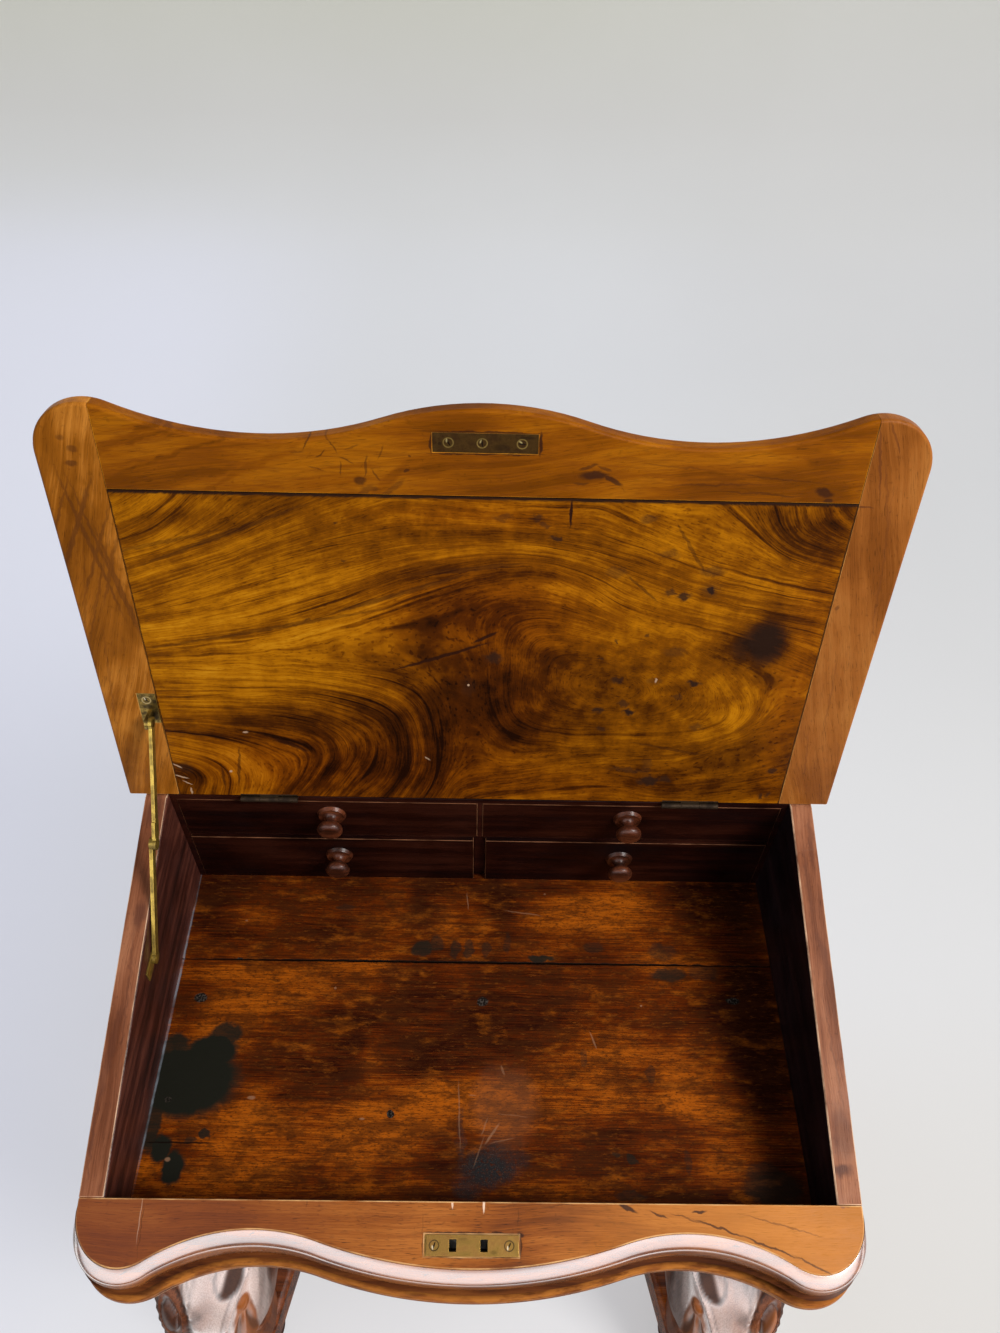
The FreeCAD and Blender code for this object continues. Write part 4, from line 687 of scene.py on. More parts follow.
def floor_stains(tree, flat, colour, out, worn):
    """Ink, soot, nails, pale scratches and a dull worn square on the well's floor."""
    for shift, scale, detail, rough, low, high, strength, tone in FLOOR_PATCHES:
        patch = noise(tree, moved(tree, flat, shift, scale=scale), 1.0, detail, rough)
        colour = mix(tree, span(tree, patch, low, high, 0.0, strength), colour, tone)
    rubbed = spots(tree, flat, ((24, -198, 25, 30, 0.35),), 14.0, 0.7)
    colour = mix(tree, rubbed, colour, (0.14, 0.05, 0.022))
    speck = span(tree, noise(tree, flat, 0.45, 4.0, 0.75), 0.30, 0.50)
    sooty = spots(tree, flat, FLOOR_SOOT, 12.0, 1.0)
    colour = mix(tree, calc(tree, "MULTIPLY", sooty, speck), colour, (0.012, 0.013, 0.014))
    fleck = span(tree, noise(tree, flat, 1.1, 2.0, 0.7), 0.57, 0.66)
    fleck = calc(tree, "MULTIPLY", fleck, sooty)
    colour = mix(tree, calc(tree, "MULTIPLY", fleck, 0.4), colour, (0.10, 0.09, 0.08))
    ink = spots(tree, flat, FLOOR_INK, 9.0, 0.35)
    colour = mix(tree, ink, colour, INK)
    nails = spots(tree, flat, FLOOR_NAILS, 3.0, 0.3)
    bright = span(tree, noise(tree, flat, 0.7, 2.0), 0.5, 0.6)
    metal_tone = mix(tree, bright, (0.008, 0.006, 0.005), (0.045, 0.036, 0.030))
    colour = mix(tree, nails, colour, metal_tone)
    pale = spots(tree, flat, FLOOR_PALE, 2.0, 0.6)
    colour = mix(tree, calc(tree, "MULTIPLY", pale, 0.5), colour, (0.30, 0.16, 0.09))
    crack = spots(tree, flat, ((-228, -228, 29, 0.6, 0.9), (0, -78.4, 262, 1.2, 1.0)),
                  2.0, 0.4)
    colour = mix(tree, crack, colour, (0.006, 0.003, 0.002))
    dusty = spots(tree, flat, ((-253.8, -130, 1.0, 118, 0.8),), 1.2, 0.9)
    dusty = calc(tree, "MULTIPLY", dusty, span(tree, noise(tree, flat, 0.05, 2.0), 0.35,
                                               0.65, 0.15, 0.75))
    return mix(tree, dusty, colour, (0.22, 0.25, 0.29))


def marked(rows, tone=(0.025, 0.008, 0.004), pale=()):
    """A function that draws dark marks and pale scratches."""
    def build(tree, flat, colour, out, worn):
        colour = mix(tree, spots(tree, flat, rows, 4.0, 0.7, 0.14), colour, tone)
        if pale:
            scratch = spots(tree, flat, pale, 1.5, 0.5)
            scratch = calc(tree, "MULTIPLY", scratch, 0.8)
            colour = mix(tree, scratch, colour, (0.75, 0.55, 0.4))
        return colour
    return build


def plate_marks(screws, ring, slot, marks, pale):
    """A function that draws screw heads, each with a painted highlight, and scratches on a
    metal plate.

    screws are (x, y, turn of the slot in degrees).
    """
    def build(tree, flat, colour):
        outer = spots(tree, flat, [(x, y, 3.5, 3.5, 1.0) for x, y, _ in screws], 0.4, 0.2)
        inner = spots(tree, flat, [(x, y, 2.8, 2.8, 1.0) for x, y, _ in screws], 0.6, 0.25)
        rim = calc(tree, "MULTIPLY", outer, calc(tree, "SUBTRACT", 1.0, inner))
        colour = mix(tree, rim, colour, ring)
        head = [(x, y, 2.4, 0.55, 1.0, turn) for x, y, turn in screws]
        colour = mix(tree, spots(tree, flat, head, 0.6, 0.5), colour, slot)
        # shine: a painted highlight on each screw head, in the colour pale
        shine = [(x - 1.0, y - 1.3, 1.3, 0.5, 0.8, turn + 30) for x, y, turn in screws]
        colour = mix(tree, spots(tree, flat, shine, 0.8, 0.8), colour, pale)
        return mix(tree, spots(tree, flat, marks, 2.0, 0.8, 0.3), colour, slot)
    return build


def rail_finish(tree, flat, colour, out, worn):
    """The case's front rail: redder at the left, golden at the right, with marks."""
    axes = separate(tree, flat)
    left = span(tree, axes[0], 0.0, -270.0, 0.0, 0.6)
    colour = mix(tree, left, colour, (0.13, 0.034, 0.016))
    right = span(tree, axes[0], 20.0, 230.0, 0.0, 0.6)
    colour = mix(tree, right, colour, (0.50, 0.185, 0.028))
    strip = spots(tree, flat, ((259, -279, 4.5, 13, 0.8),), 0.8, 0.1)
    colour = mix(tree, strip, colour, (0.16, 0.055, 0.035))
    return marked(RAIL_MARKS, pale=RAIL_SCRATCHES)(tree, flat, colour, out, worn)


def carved_tones(tree, flat, colour, out, worn):
    """Painted shade in the carving's hollows, warmer bosses and a painted pale sheen on the
    front.
    """
    # A painted pale sheen where the polish would mirror the light
    painted_sheen = calc(tree, "MULTIPLY_ADD", out["Streaks"], 0.35, 0.6)
    painted_sheen = calc(tree, "MULTIPLY", attribute(tree, "pale"), painted_sheen)
    colour = mix(tree, painted_sheen, colour, (0.60, 0.48, 0.44))
    colour = mix(tree, calc(tree, "MULTIPLY", attribute(tree, "warm"), 0.8), colour,
                 (0.26, 0.075, 0.014))
    # Painted shade in the hollows
    hollow = calc(tree, "MULTIPLY", attribute(tree, "deep"), 0.85)
    return mix(tree, hollow, colour, (0.014, 0.006, 0.004))


def rim_finish(tree, flat, colour, out, worn):
    """The sloping tops of the case's sides: darker knots, cracks and a pale inner line."""
    colour = mix(tree, spots(tree, flat, RIM_DARK, 8.0, 1.0), colour, (0.055, 0.018, 0.012))
    side = calc(tree, "ABSOLUTE", separate(tree, flat)[0])
    rough = noise(tree, moved(tree, flat, scale=(1.0, 0.2, 1.0)), 1.0, 3.0)
    inner = calc(tree, "MULTIPLY_ADD", rough, 1.6, side)
    crack = span(tree, inner, 257.6, 256.6, 0.0, 0.8)
    colour = mix(tree, crack, colour, (0.03, 0.012, 0.008))
    pale = span(tree, inner, 256.2, 255.6, 0.0, 0.7)
    return mix(tree, pale, colour, (0.50, 0.30, 0.2))


def lid_rail_finish(tree, flat, colour, out, worn):
    """The lid's front rail: slanting ripples in the figure, and wandering dark marks."""
    ripple = noise(tree, moved(tree, flat, turn=(0, 0, math.radians(-52)),
                               scale=(0.03, 0.34, 0.3)), 1.0, 3.0, 0.6, 0.6)
    ripple = span(tree, ripple, 0.42, 0.68, 0.0, 0.5)
    colour = mix(tree, ripple, colour, (0.14, 0.036, 0.002))
    return marked(LID_RAIL_MARKS)(tree, flat, colour, out, worn)


walnut_case = wood("walnut_case", REDDISH, grain=ALONG_Y, rough=(0.2, 0.4))
walnut_rim = wood("walnut_rim", ((0.11, 0.032, 0.012), (0.20, 0.068, 0.030),
                                 (0.29, 0.115, 0.055)), turn=SLOPE, grain=ALONG_Y,
                  band=0.4, streak=0.2, edge=(0.6, 0.38, 0.24), gloss=0.12,
                  extra=rim_finish)
walnut_dark = wood("walnut_dark", DARK, rough=(0.3, 0.5), gloss=0.08)
# The drawers' pale edge tone is partly wear and partly a painted highlight where their top
# edges catch the light.
drawer_wood = wood("drawer_wood", ((0.003, 0.001, 0.001), (0.010, 0.002, 0.001),
                                   (0.026, 0.006, 0.003)), rough=(0.3, 0.5), gloss=0.06,
                   edge=(0.20, 0.085, 0.04))
# The right inner wall: the side's wood painted near-black for the shade it stands in (painted
# shade).
painted_shade_wall = wood("painted_shade_wall", ((0.003, 0.002, 0.003), (0.008, 0.004, 0.005),
                                 (0.02, 0.008, 0.008)), grain=ALONG_Y, gloss=0.1)
walnut_dark_side = wood("walnut_dark_side", ((0.012, 0.004, 0.003), (0.045, 0.012, 0.008),
                                             (0.10, 0.03, 0.018)), grain=ALONG_Y,
                        gloss=0.2)
walnut_outer = wood("walnut_outer", REDDISH, grain=ALONG_Z, shift=(0, 40, 90),
                    rough=(0.18, 0.35), coat=0.5)
walnut_top = wood("walnut_top", REDDISH, shift=(30, 0, 0), rough=(0.18, 0.35), coat=0.5)
walnut_turned = wood("walnut_turned", ((0.012, 0.004, 0.002), (0.055, 0.014, 0.006),
                                       (0.13, 0.035, 0.012)), rough=(0.25, 0.4), coat=0.07,
                     gloss=0.15)
plain_wood = wood("plain_wood", ((0.12, 0.045, 0.015), (0.24, 0.1, 0.035),
                                 (0.36, 0.17, 0.07)), rough=(0.45, 0.65))
clamp_wood_left = wood("clamp_wood_left", ((0.15, 0.044, 0.002), (0.25, 0.078, 0.005),
                                           (0.46, 0.17, 0.022)), turn=TURN,
                       shade=shaded(((-252, -60, 24, 90, 1.0),),
                                    ((-258, -230, 8, 68, 0.6, -10),)),
                       grain=(0, 0, math.radians(72)), shift=(0, 130, 0), cloud=0.7,
                       band=0.4, streak=0.15, edge=(0.6, 0.3, 0.08), gloss=0.04,
                       extra=marked(CLAMP_LEFT_MARKS, (0.075, 0.022, 0.005)))
clamp_wood_right = wood("clamp_wood_right", ((0.16, 0.046, 0.006), (0.245, 0.077, 0.012),
                                             (0.31, 0.112, 0.022)), turn=TURN,
                        grain=(0, 0, math.radians(-76)), cloud=0.7, band=0.35,
                        streak=0.15, edge=(0.6, 0.3, 0.08), gloss=0.04,
                        extra=marked(CLAMP_RIGHT_MARKS, (0.09, 0.026, 0.008)))
# The lid rail's bright orange edge tone is a painted highlight along its rounded top edge,
# laid on the worn edges.
rail_wood_lid = wood("rail_wood_lid", ((0.12, 0.032, 0.0005), (0.215, 0.060, 0.001),
                                       (0.30, 0.096, 0.002)), turn=TURN,
                     grain=(0, 0, math.radians(8)), cloud=0.7, band=0.4, streak=0.2,
                     edge=(0.8, 0.33, 0.02), gloss=0.04,
                     shade=shaded(((-190, -300, 60, 18, 0.5),), LID_RAIL_DARK, down=0.45,
                                  ragged=14.0),
                     extra=lid_rail_finish)
rail_wood_case = wood("rail_wood_case", ((0.11, 0.028, 0.006), (0.22, 0.060, 0.009),
                                         (0.33, 0.105, 0.018)), turn=SLOPE, cloud=0.6,
                      band=0.3, streak=0.3, pore=0.85, gloss=0.1,
                      edge=(0.6, 0.34, 0.14), extra=rail_finish)
carved_wood = wood("carved_wood", ((0.06, 0.018, 0.008), (0.14, 0.042, 0.016),
                                   (0.24, 0.08, 0.03)), grain=ALONG_Z, rough=(0.3, 0.45),
                   coat=0.9, bump=0.08, gloss=0.6, coat_rough=0.26, coat_ior=1.9,
                   dull=True, extra=carved_tones)
floor_wood = wood("floor_wood", ((0.018, 0.003, 0.001), (0.098, 0.016, 0.001),
                                 (0.29, 0.066, 0.003)), wave=8.0, band=0.3, streak=0.45,
                  cloud=0.8, pore=0.6, rough=(0.4, 0.6), gloss=0.02,
                  shade=lambda tree, flat: attribute(tree, "shade"), extra=floor_stains)
brass = metal("brass", (0.30, 0.20, 0.035), (0.13, 0.085, 0.018), metallic=0.7,
              rough=(0.3, 0.5), patina=0.8)
# The last colour given to plate_marks is the painted highlight on the screw heads.
brass_plate = metal("brass_plate", (0.26, 0.15, 0.035), (0.17, 0.085, 0.022), turn=SLOPE,
                    patina=0.3, metallic=0.75, rough=(0.3, 0.5), gloss=0.1,
                    extra=plate_marks(((-25.8, -317, 70), (25.8, -317, 62)),
                                      (0.05, 0.03, 0.012), (0.02, 0.012, 0.006),
                                      ((-6, -313, 3, 1, 0.3), (15, -321, 2, 1, 0.3),
                                       (-31.6, -317, 0.5, 6, 0.5)),
                                      (0.55, 0.45, 0.3)))
bronze = metal("bronze", (0.075, 0.038, 0.010), (0.035, 0.016, 0.005), turn=TURN,
               metallic=0.6, rough=(0.3, 0.5), gloss=0.05,
               extra=plate_marks(((-23.3, -319.7, 60), (-2, -319.7, 80), (23.2, -319.7, 5)),
                                 (0.20, 0.13, 0.035), (0.012, 0.007, 0.004),
                                 ((-28.5, -319, 1.3, 1.3, 0.6), (10, -317, 5, 2, 0.4),
                                  (26, -324, 5, 1, 0.5)), (0.42, 0.33, 0.14)))
brass_old = metal("brass_old", (0.20, 0.13, 0.03), (0.035, 0.022, 0.008), turn=TURN,
                  metallic=0.8, rough=(0.3, 0.5), gloss=0.1, patina=0.8,
                  extra=plate_marks(((-252.6, -103.5, 45),), (0.35, 0.26, 0.12),
                                    (0.012, 0.008, 0.005), ((-252, -97, 4, 2, 0.7),
                                                            (-248, -88, 3, 4, 0.6)),
                                    (0.5, 0.42, 0.3)))
brass_dark = metal("brass_dark", (0.10, 0.055, 0.02), (0.035, 0.02, 0.008),
                   rough=(0.35, 0.55), metallic=0.7)
brass_black = metal("brass_black", (0.028, 0.017, 0.009), (0.012, 0.007, 0.004),
                    rough=(0.5, 0.7), metallic=0.4, gloss=0.1)
steel = metal("steel", (0.3, 0.29, 0.28), (0.12, 0.11, 0.1))


def leather_material():
    """Aged green writing leather, let into the lid's outer face."""
    made, tree, shader = start_material("writing_leather")
    flat, _ = board_place(tree, TURN)
    cells = place(tree, "ShaderNodeTexVoronoi", {"Vector": flat, "Scale": 0.9})
    cloud = span(tree, noise(tree, flat, 0.02, 4.0, 0.6), 0.3, 0.7)
    colour = ramp(tree, cloud, [(0.1, (0.02, 0.045, 0.025)), (0.9, (0.06, 0.11, 0.055))])
    axes = separate(tree, flat)
    side = calc(tree, "ABSOLUTE", axes[0])
    middle = (LEATHER_FRONT + LEATHER_BACK) / 2
    reach = calc(tree, "ABSOLUTE", calc(tree, "ADD", axes[1], middle))
    edge = calc(tree, "MAXIMUM", calc(tree, "SUBTRACT", side, LEATHER_X),
                calc(tree, "SUBTRACT", reach, LEATHER_FRONT - middle))
    line = calc(tree, "ABSOLUTE", calc(tree, "ADD", edge, 7.0))
    gilt = span(tree, line, 0.9, 0.6)
    colour = mix(tree, gilt, colour, (0.55, 0.36, 0.1))
    tree.links.new(colour, shader.inputs["Base Color"])
    shader.inputs["Roughness"].default_value = 0.5
    relief = place(tree, "ShaderNodeBump", {"Height": cells.outputs["Distance"],
                                            "Strength": 0.3, "Distance": 0.0005})
    tree.links.new(relief.outputs[0], shader.inputs["Normal"])
    return made


leather = leather_material()


# Dressed CAD nodes

def rim_or_wall(middle, way):
    """0 for the sloping rim, 1 for the inner faces and 2 for the outer ones."""
    if way[2] > 0.8:
        return 0
    if abs(middle[0]) < 256 and way[0] * middle[0] < -1:
        return 1
    return 2


for side in ("left", "right"):
    # The right side's inner face gets the wood with painted shade.
    wall = walnut_dark_side if side == "left" else painted_shade_wall
    softened(f"case_side_{side}", [walnut_rim, wall, walnut_case], "walnut_clamp", 0.7,
             choose=rim_or_wall)
# Node, material, slot and rounding in millimetres, and on two of them the number of
# steps in the rounding and the least length of an edge
DRESSED = (
    ("case_back", walnut_top, "walnut_veneer", 0.5),
    ("hinge_rail", walnut_dark, "walnut_clamp", 0.4),
    ("flat_top", walnut_top, "walnut_veneer", 0.4),
    ("drawer_frame", walnut_dark, "mahogany_lining", 0.4),
    ("front_rail", rail_wood_case, "walnut_rail", 1.0, 3),
    ("lid_clamp_left", clamp_wood_left, "walnut_clamp", 0.3),
    ("lid_clamp_right", clamp_wood_right, "walnut_clamp", 0.3),
    ("lid_front_rail", rail_wood_lid, "walnut_rail", 0.3),
    ("writing_leather", leather, "leather", 0.3),
    ("pedestal_sides", walnut_outer, "walnut_veneer", 0.6),
    ("pedestal_front", walnut_outer, "walnut_veneer", 0.8),
    ("pedestal_back", walnut_outer, "walnut_veneer", 0.6),
    ("pedestal_plates", walnut_top, "walnut_veneer", 0.8),
    ("dust_boards", plain_wood, "walnut_veneer", 0.6),
    ("dummy_drawers", walnut_outer, "walnut_veneer", 0.5),
    ("base", walnut_top, "walnut_polished", 0.8),
    ("feet", walnut_turned, "walnut_polished", 0.8),
    ("stationery_box", walnut_top, "walnut_veneer", 0.6),
    ("stationery_dividers", plain_wood, "mahogany_lining", 0.4),
    ("stationery_lid", walnut_top, "walnut_veneer", 0.4),
    ("lock_plate", brass_plate, "brass", 0.15, 2, 1.0),
    ("lock_body", brass_dark, "brass", 0.15),
    ("lock_bolt", steel, "steel", 0.3),
    ("lock_screws", brass_plate, "brass", 0.1),
    ("link_plate", bronze, "brass_dark", 0.15),
    ("link_screws", bronze, "brass_dark", 0.1),
    ("hinge_case_leaves", brass_black, "brass_dark", 0.15),
    ("hinge_lid_leaves", brass_black, "brass_dark", 0.15),
    ("hinge_pins", brass_black, "brass_dark", 0.1),
    ("stationery_lid_leaves", brass_dark, "brass_dark", 0.15),
    ("stationery_hinges", brass_dark, "brass_dark", 0.15))
for row in DRESSED:
    softened(*row)
for part in ("wall_plate", "lower_bar", "upper_bar", "lid_bracket"):
    softened(f"stay_{part}", brass_old if part == "lid_bracket" else brass, "brass", 0.25,
             least=1.0)
for number in range(1, 5):
    softened(f"side_drawer_{number}", [walnut_outer, plain_wood], "walnut_veneer", 0.6,
             choose=lambda middle, way: 0 if middle[0] > SIDE_DRAWER_FACE else 1)
    softened(f"side_drawer_knobs_{number}", walnut_turned, "turned_knob", 0.4)
for level in ("upper", "lower"):
    for side in ("left", "right"):
        softened(f"small_drawer_{level}_{side}", [drawer_wood, plain_wood],
                 "mahogany_lining", 0.5,
                 choose=lambda middle, way: 0 if middle[1] < SMALL_DRAWER_FACE else 1)
        softened(f"small_knob_{level}_{side}", walnut_turned, "turned_knob", 0.3)


# The lid's figured middle board

# Lines of the figure, as a level and points (x, distance from the hinge line)
GRAIN_LINES = (
    (65, ((-245, 65), (-225, 60), (-200, 52), (-188, 40), (-183, 25), (-188, 5))),
    (48, ((-245, 48), (-225, 42), (-212, 33), (-208, 22), (-212, 8))),
    (35, ((-245, 35), (-232, 30), (-228, 22), (-232, 12))),
    (72, ((-245, 72), (-200, 65), (-175, 55), (-163, 45), (-160, 30), (-170, 5))),
    (78, ((-245, 78), (-210, 77), (-150, 62), (-135, 50), (-140, 30), (-155, 5))),
    (88, ((-245, 88), (-200, 88), (-150, 85), (-120, 72), (-112, 50), (-125, 25),
          (-142, 0))),
    (100, ((-245, 100), (-200, 100), (-150, 98), (-110, 88), (-90, 70), (-90, 50),
           (-103, 25), (-120, 0))),
    (110, ((-245, 110), (-150, 112), (-110, 106), (-80, 92), (-70, 75), (-68, 50),
           (-75, 25), (-95, 0))),
    (125, ((-245, 125), (-150, 125), (-100, 119), (-70, 108), (-55, 90), (-50, 60),
           (-52, 35), (-70, 0))),
    (138, ((-245, 138), (-150, 138), (-100, 136), (-60, 128), (-40, 110), (-33, 80),
           (-32, 50), (-38, 20), (-48, 0))),
    (145, ((-245, 145), (-150, 158), (-100, 172), (-50, 190), (-10, 206), (25, 212),
           (60, 205), (90, 190), (125, 176), (170, 162), (210, 148), (244, 135))),
    (155, ((-245, 155), (-200, 162), (-150, 172), (-100, 190), (-50, 213), (0, 228),
           (40, 230), (75, 218), (100, 203), (130, 192), (170, 182), (210, 168),
           (244, 152))),
    (175, ((-245, 175), (-200, 184), (-150, 199), (-100, 216), (-50, 234), (0, 242),
           (40, 241), (75, 233), (110, 218), (150, 203), (200, 191), (244, 182))),
    (190, ((-245, 190), (-200, 205), (-150, 225), (-100, 242), (-50, 252), (0, 255),
           (50, 252), (100, 240), (150, 222), (200, 209), (244, 200))),
    (205, ((-245, 205), (-200, 222), (-150, 243), (-100, 262), (-60, 275))),
    (205, ((75, 270), (110, 255), (150, 238), (200, 222), (244, 213))),
    (222, ((-245, 222), (-200, 238), (-170, 250), (-140, 268), (-115, 280))),
    (217, ((150, 281), (175, 262), (190, 250), (210, 238), (244, 228))),
    (232, ((-245, 232), (-220, 240), (-200, 252), (-180, 266), (-165, 279))),
    (228, ((185, 281), (195, 262), (212, 248), (244, 238))),
    (238, ((205, 281), (212, 265), (226, 255), (244, 248))),
    (248, ((225, 281), (231, 270), (244, 262))),
    (250, ((-245, 250), (-222, 262), (-205, 275))),
    (145, ((-5, 60), (20, 46), (60, 52), (100, 57), (150, 60), (185, 72), (214, 95),
           (222, 118))),
    (152, ((-15, 15), (0, 20), (50, 31), (100, 38), (150, 33), (200, 42), (225, 52),
           (244, 62))),
    (159, ((0, 4), (50, 14), (100, 19), (150, 12), (200, 20), (244, 30))),
    (136, ((12, 172), (12, 120), (18, 92), (36, 77), (100, 70), (160, 72), (195, 88),
           (196, 118), (150, 160), (95, 176), (45, 190), (20, 188))),
    (124, ((30, 160), (28, 110), (38, 92), (60, 84), (100, 84), (150, 88), (172, 105),
           (160, 135), (110, 158), (60, 172), (38, 172))),
    (112, ((50, 140), (52, 112), (80, 100), (120, 100), (145, 112), (130, 132),
           (90, 150), (60, 152))),
    (100, ((85, 125), (105, 118), (115, 126), (95, 134))),
)

# Soft patches: (x, distance from the hinge line, spread in x, spread along, amount)
SHADES = (
    (-150, 195, 110, 60, 0.12), (-20, 192, 46, 26, -0.34), (0, 112, 44, 54, -0.34),
    (-50, 70, 34, 60, -0.20), (-150, 88, 62, 13, -0.24), (-232, 22, 18, 24, -0.20),
    (-120, 40, 70, 34, -0.14), (60, 165, 46, 60, -0.06), (135, 185, 60, 36, 0.05),
    (224, 264, 30, 20, -0.34), (205, 170, 13, 20, -0.55), (184, 165, 20, 13, -0.26),
    (130, 32, 32, 12, -0.14), (0, 225, 110, 14, -0.12), (35, 80, 28, 12, -0.14),
    (70, 262, 60, 12, -0.12), (-20, 25, 90, 40, -0.14), (170, 58, 60, 10, -0.08),
    (196, 100, 30, 26, 0.10), (-190, 262, 40, 8, -0.14), (150, 150, 24, 10, -0.08),
    (215, 60, 20, 22, 0.06), (-215, 130, 40, 60, 0.04), 
    (125, 14, 140, 16, -0.12), (-60, 145, 40, 14, -0.12), (235, 180, 16, 90, -0.06),
    (60, 240, 50, 10, 0.06), (100, 110, 60, 36, -0.06), (-90, 120, 60, 24, -0.06),
    (-140, 20, 95, 34, -0.10), (-190, 66, 34, 14, -0.16),
)

LIVELY = ((115, 125, 90, 62, -0.95), (-140, 45, 110, 45, 0.5), (0, 110, 40, 60, -0.3),
          (-100, 170, 90, 40, 0.1), (210, 262, 30, 22, 0.4), (-60, 262, 80, 16, -0.5),
          (150, 240, 50, 20, -0.3))

REDS = ((0, 190, 70, 40, 0.8), (20, 110, 45, 60, 0.6), (-40, 60, 60, 60, 0.5),
        (0, 268, 70, 12, 0.45), (-150, 35, 95, 45, 0.9), (60, 20, 120, 25, 0.45),
        (235, 120, 20, 150, 0.5))


def soft_sum(x, y, rows):
    """The sum of some soft oval patches: (x, y, spread in x, spread in y, amount)."""
    return sum(amount * np.exp(-((x - cx) / sx) ** 2 - ((y - cy) / sy) ** 2)
               for cx, cy, sx, sy, amount, *_ in rows)


def grain_level(x, y):
    """A smooth level through the listed grain lines, like a thin bent plate.

    Its level lines are the grain, so noise that is fine across the level and slow
    along it runs with the lines.
    """
    points, levels = [], []
    for level, route in GRAIN_LINES:
        line = smooth_line(route, 2 * len(route))
        points.append(line)
        levels.append(np.full(len(line), float(level)))
    points, levels = np.vstack(points), np.concatenate(levels)

    def bend(a, b):
        away = ((a[:, None, :] - b[None, :, :]) ** 2).sum(-1) / 1e4
        return 0.5 * away * np.log(away + 1e-12)

    count = len(points)
    plane = np.column_stack([np.ones(count), points / 100])
    matrix = np.zeros((count + 3, count + 3))
    matrix[:count, :count] = bend(points, points) + 1e-3 * np.eye(count)
    matrix[:count, count:] = plane
    matrix[count:, :count] = plane.T
    weights = np.linalg.solve(matrix, np.concatenate([levels, np.zeros(3)]))
    places = np.column_stack([x.ravel(), y.ravel()])
    found = bend(places, points) @ weights[:count]
    found += np.column_stack([np.ones(len(places)), places / 100]) @ weights[count:]
    return found.reshape(x.shape)


def panel_material():
    """Figured walnut: streaks, bands and pores that follow the board's own level lines."""
    made, tree, shader = start_material("panel_wood")
    flat, _ = board_place(tree, TURN)
    axes = separate(tree, flat)
    level = attribute(tree, "level")
    shade = attribute(tree, "shade")

    def figure(across, along, detail, rough=0.6, seed=0.0):
        spot = combine(tree, calc(tree, "MULTIPLY_ADD", level, across, seed),
                       calc(tree, "MULTIPLY", axes[0], along),
                       calc(tree, "MULTIPLY", axes[1], along))
        return noise(tree, spot, 1.0, detail, rough)

    broad = span(tree, figure(0.055, 0.004, 4.0, 0.6, 3.0), 0.36, 0.64)
    thin = span(tree, figure(0.30, 0.009, 4.0, 0.6, 9.0), 0.34, 0.68)
    line = span(tree, figure(0.42, 0.008, 2.0, 0.5, 21.0), 0.60, 0.70)
    streak = span(tree, figure(1.5, 0.05, 3.0, 0.6, 5.0), 0.3, 0.7)
    pore = span(tree, figure(2.6, 0.22, 1.0, 0.5, 2.0), 0.60, 0.70)
    mottle = span(tree, noise(tree, flat, 0.05, 5.0, 0.62), 0.3, 0.7)
    curl = span(tree, noise(tree, moved(tree, flat, scale=(0.16, 0.04, 0.1)), 1.0, 3.0),
                0.3, 0.7)
    lively = attribute(tree, "lively")
    figured = calc(tree, "MULTIPLY_ADD", broad, 0.20, -0.10)
    figured = calc(tree, "MULTIPLY_ADD", thin, 0.14, figured)
    figured = calc(tree, "MULTIPLY_ADD", line, -0.20, figured)
    tone = calc(tree, "MULTIPLY_ADD", figured, lively, shade)
    calm = span(tree, lively, 0.2, 1.0, 0.25, 1.0)
    tone = calc(tree, "MULTIPLY_ADD", calc(tree, "MULTIPLY", streak, calm), 0.13, tone)
    tone = calc(tree, "MULTIPLY_ADD", mottle, span(tree, lively, 0.1, 1.0, 0.26, 0.14), tone)
    tone = calc(tree, "MULTIPLY_ADD", curl, 0.03, tone)
    tone = calc(tree, "MULTIPLY_ADD", pore, -0.12, tone)
    gold = ramp(tree, tone, [(0.12, (0.010, 0.003, 0.001)), (0.34, (0.055, 0.014, 0.001)),
                             (0.56, (0.175, 0.052, 0.001)), (0.76, (0.37, 0.130, 0.002)),
                             (1.0, (0.56, 0.245, 0.009))])
    red = ramp(tree, tone, [(0.12, (0.012, 0.003, 0.001)), (0.34, (0.068, 0.014, 0.001)),
                            (0.56, (0.20, 0.047, 0.001)), (0.76, (0.38, 0.112, 0.003)),
                            (1.0, (0.54, 0.205, 0.016))])
    colour = mix(tree, attribute(tree, "red"), gold, red)
    eyes = spots(tree, flat, PANEL_EYES, 9.0, 0.9, 0.2)
    colour = mix(tree, eyes, colour, (0.022, 0.010, 0.006))
    cracks = spots(tree, flat, PANEL_CRACKS, 3.0, 0.6, 0.15)
    colour = mix(tree, cracks, colour, (0.02, 0.006, 0.003))
    tool = spots(tree, flat, PANEL_SCRATCHES, 3.0, 0.6, 0.2)
    colour = mix(tree, tool, colour, (0.46, 0.30, 0.19))
    joint = calc(tree, "MULTIPLY", axes[1], -1.0)
    joint = span(tree, calc(tree, "MULTIPLY_ADD", streak, 1.2, joint), 279.4, 281.2)
    colour = mix(tree, joint, colour, (0.02, 0.008, 0.004))
    seam = calc(tree, "MULTIPLY_ADD", streak, 0.9, calc(tree, "ABSOLUTE", axes[0]))
    seam = span(tree, seam, 243.9, 244.8, 0.0, 0.9)
    colour = mix(tree, seam, colour, (0.025, 0.010, 0.005))
    height = calc(tree, "SUBTRACT", calc(tree, "MULTIPLY", streak, 0.3),
                  calc(tree, "MULTIPLY", pore, 0.7))
    height = calc(tree, "SUBTRACT", height, calc(tree, "MULTIPLY", cracks, 1.5))
    rougher = calc(tree, "MULTIPLY_ADD", mottle, 0.16, 0.36)
    finish_wood(tree, shader, colour, height, rougher, 0.0, 0.2, 0.3, 0.02)
    return made


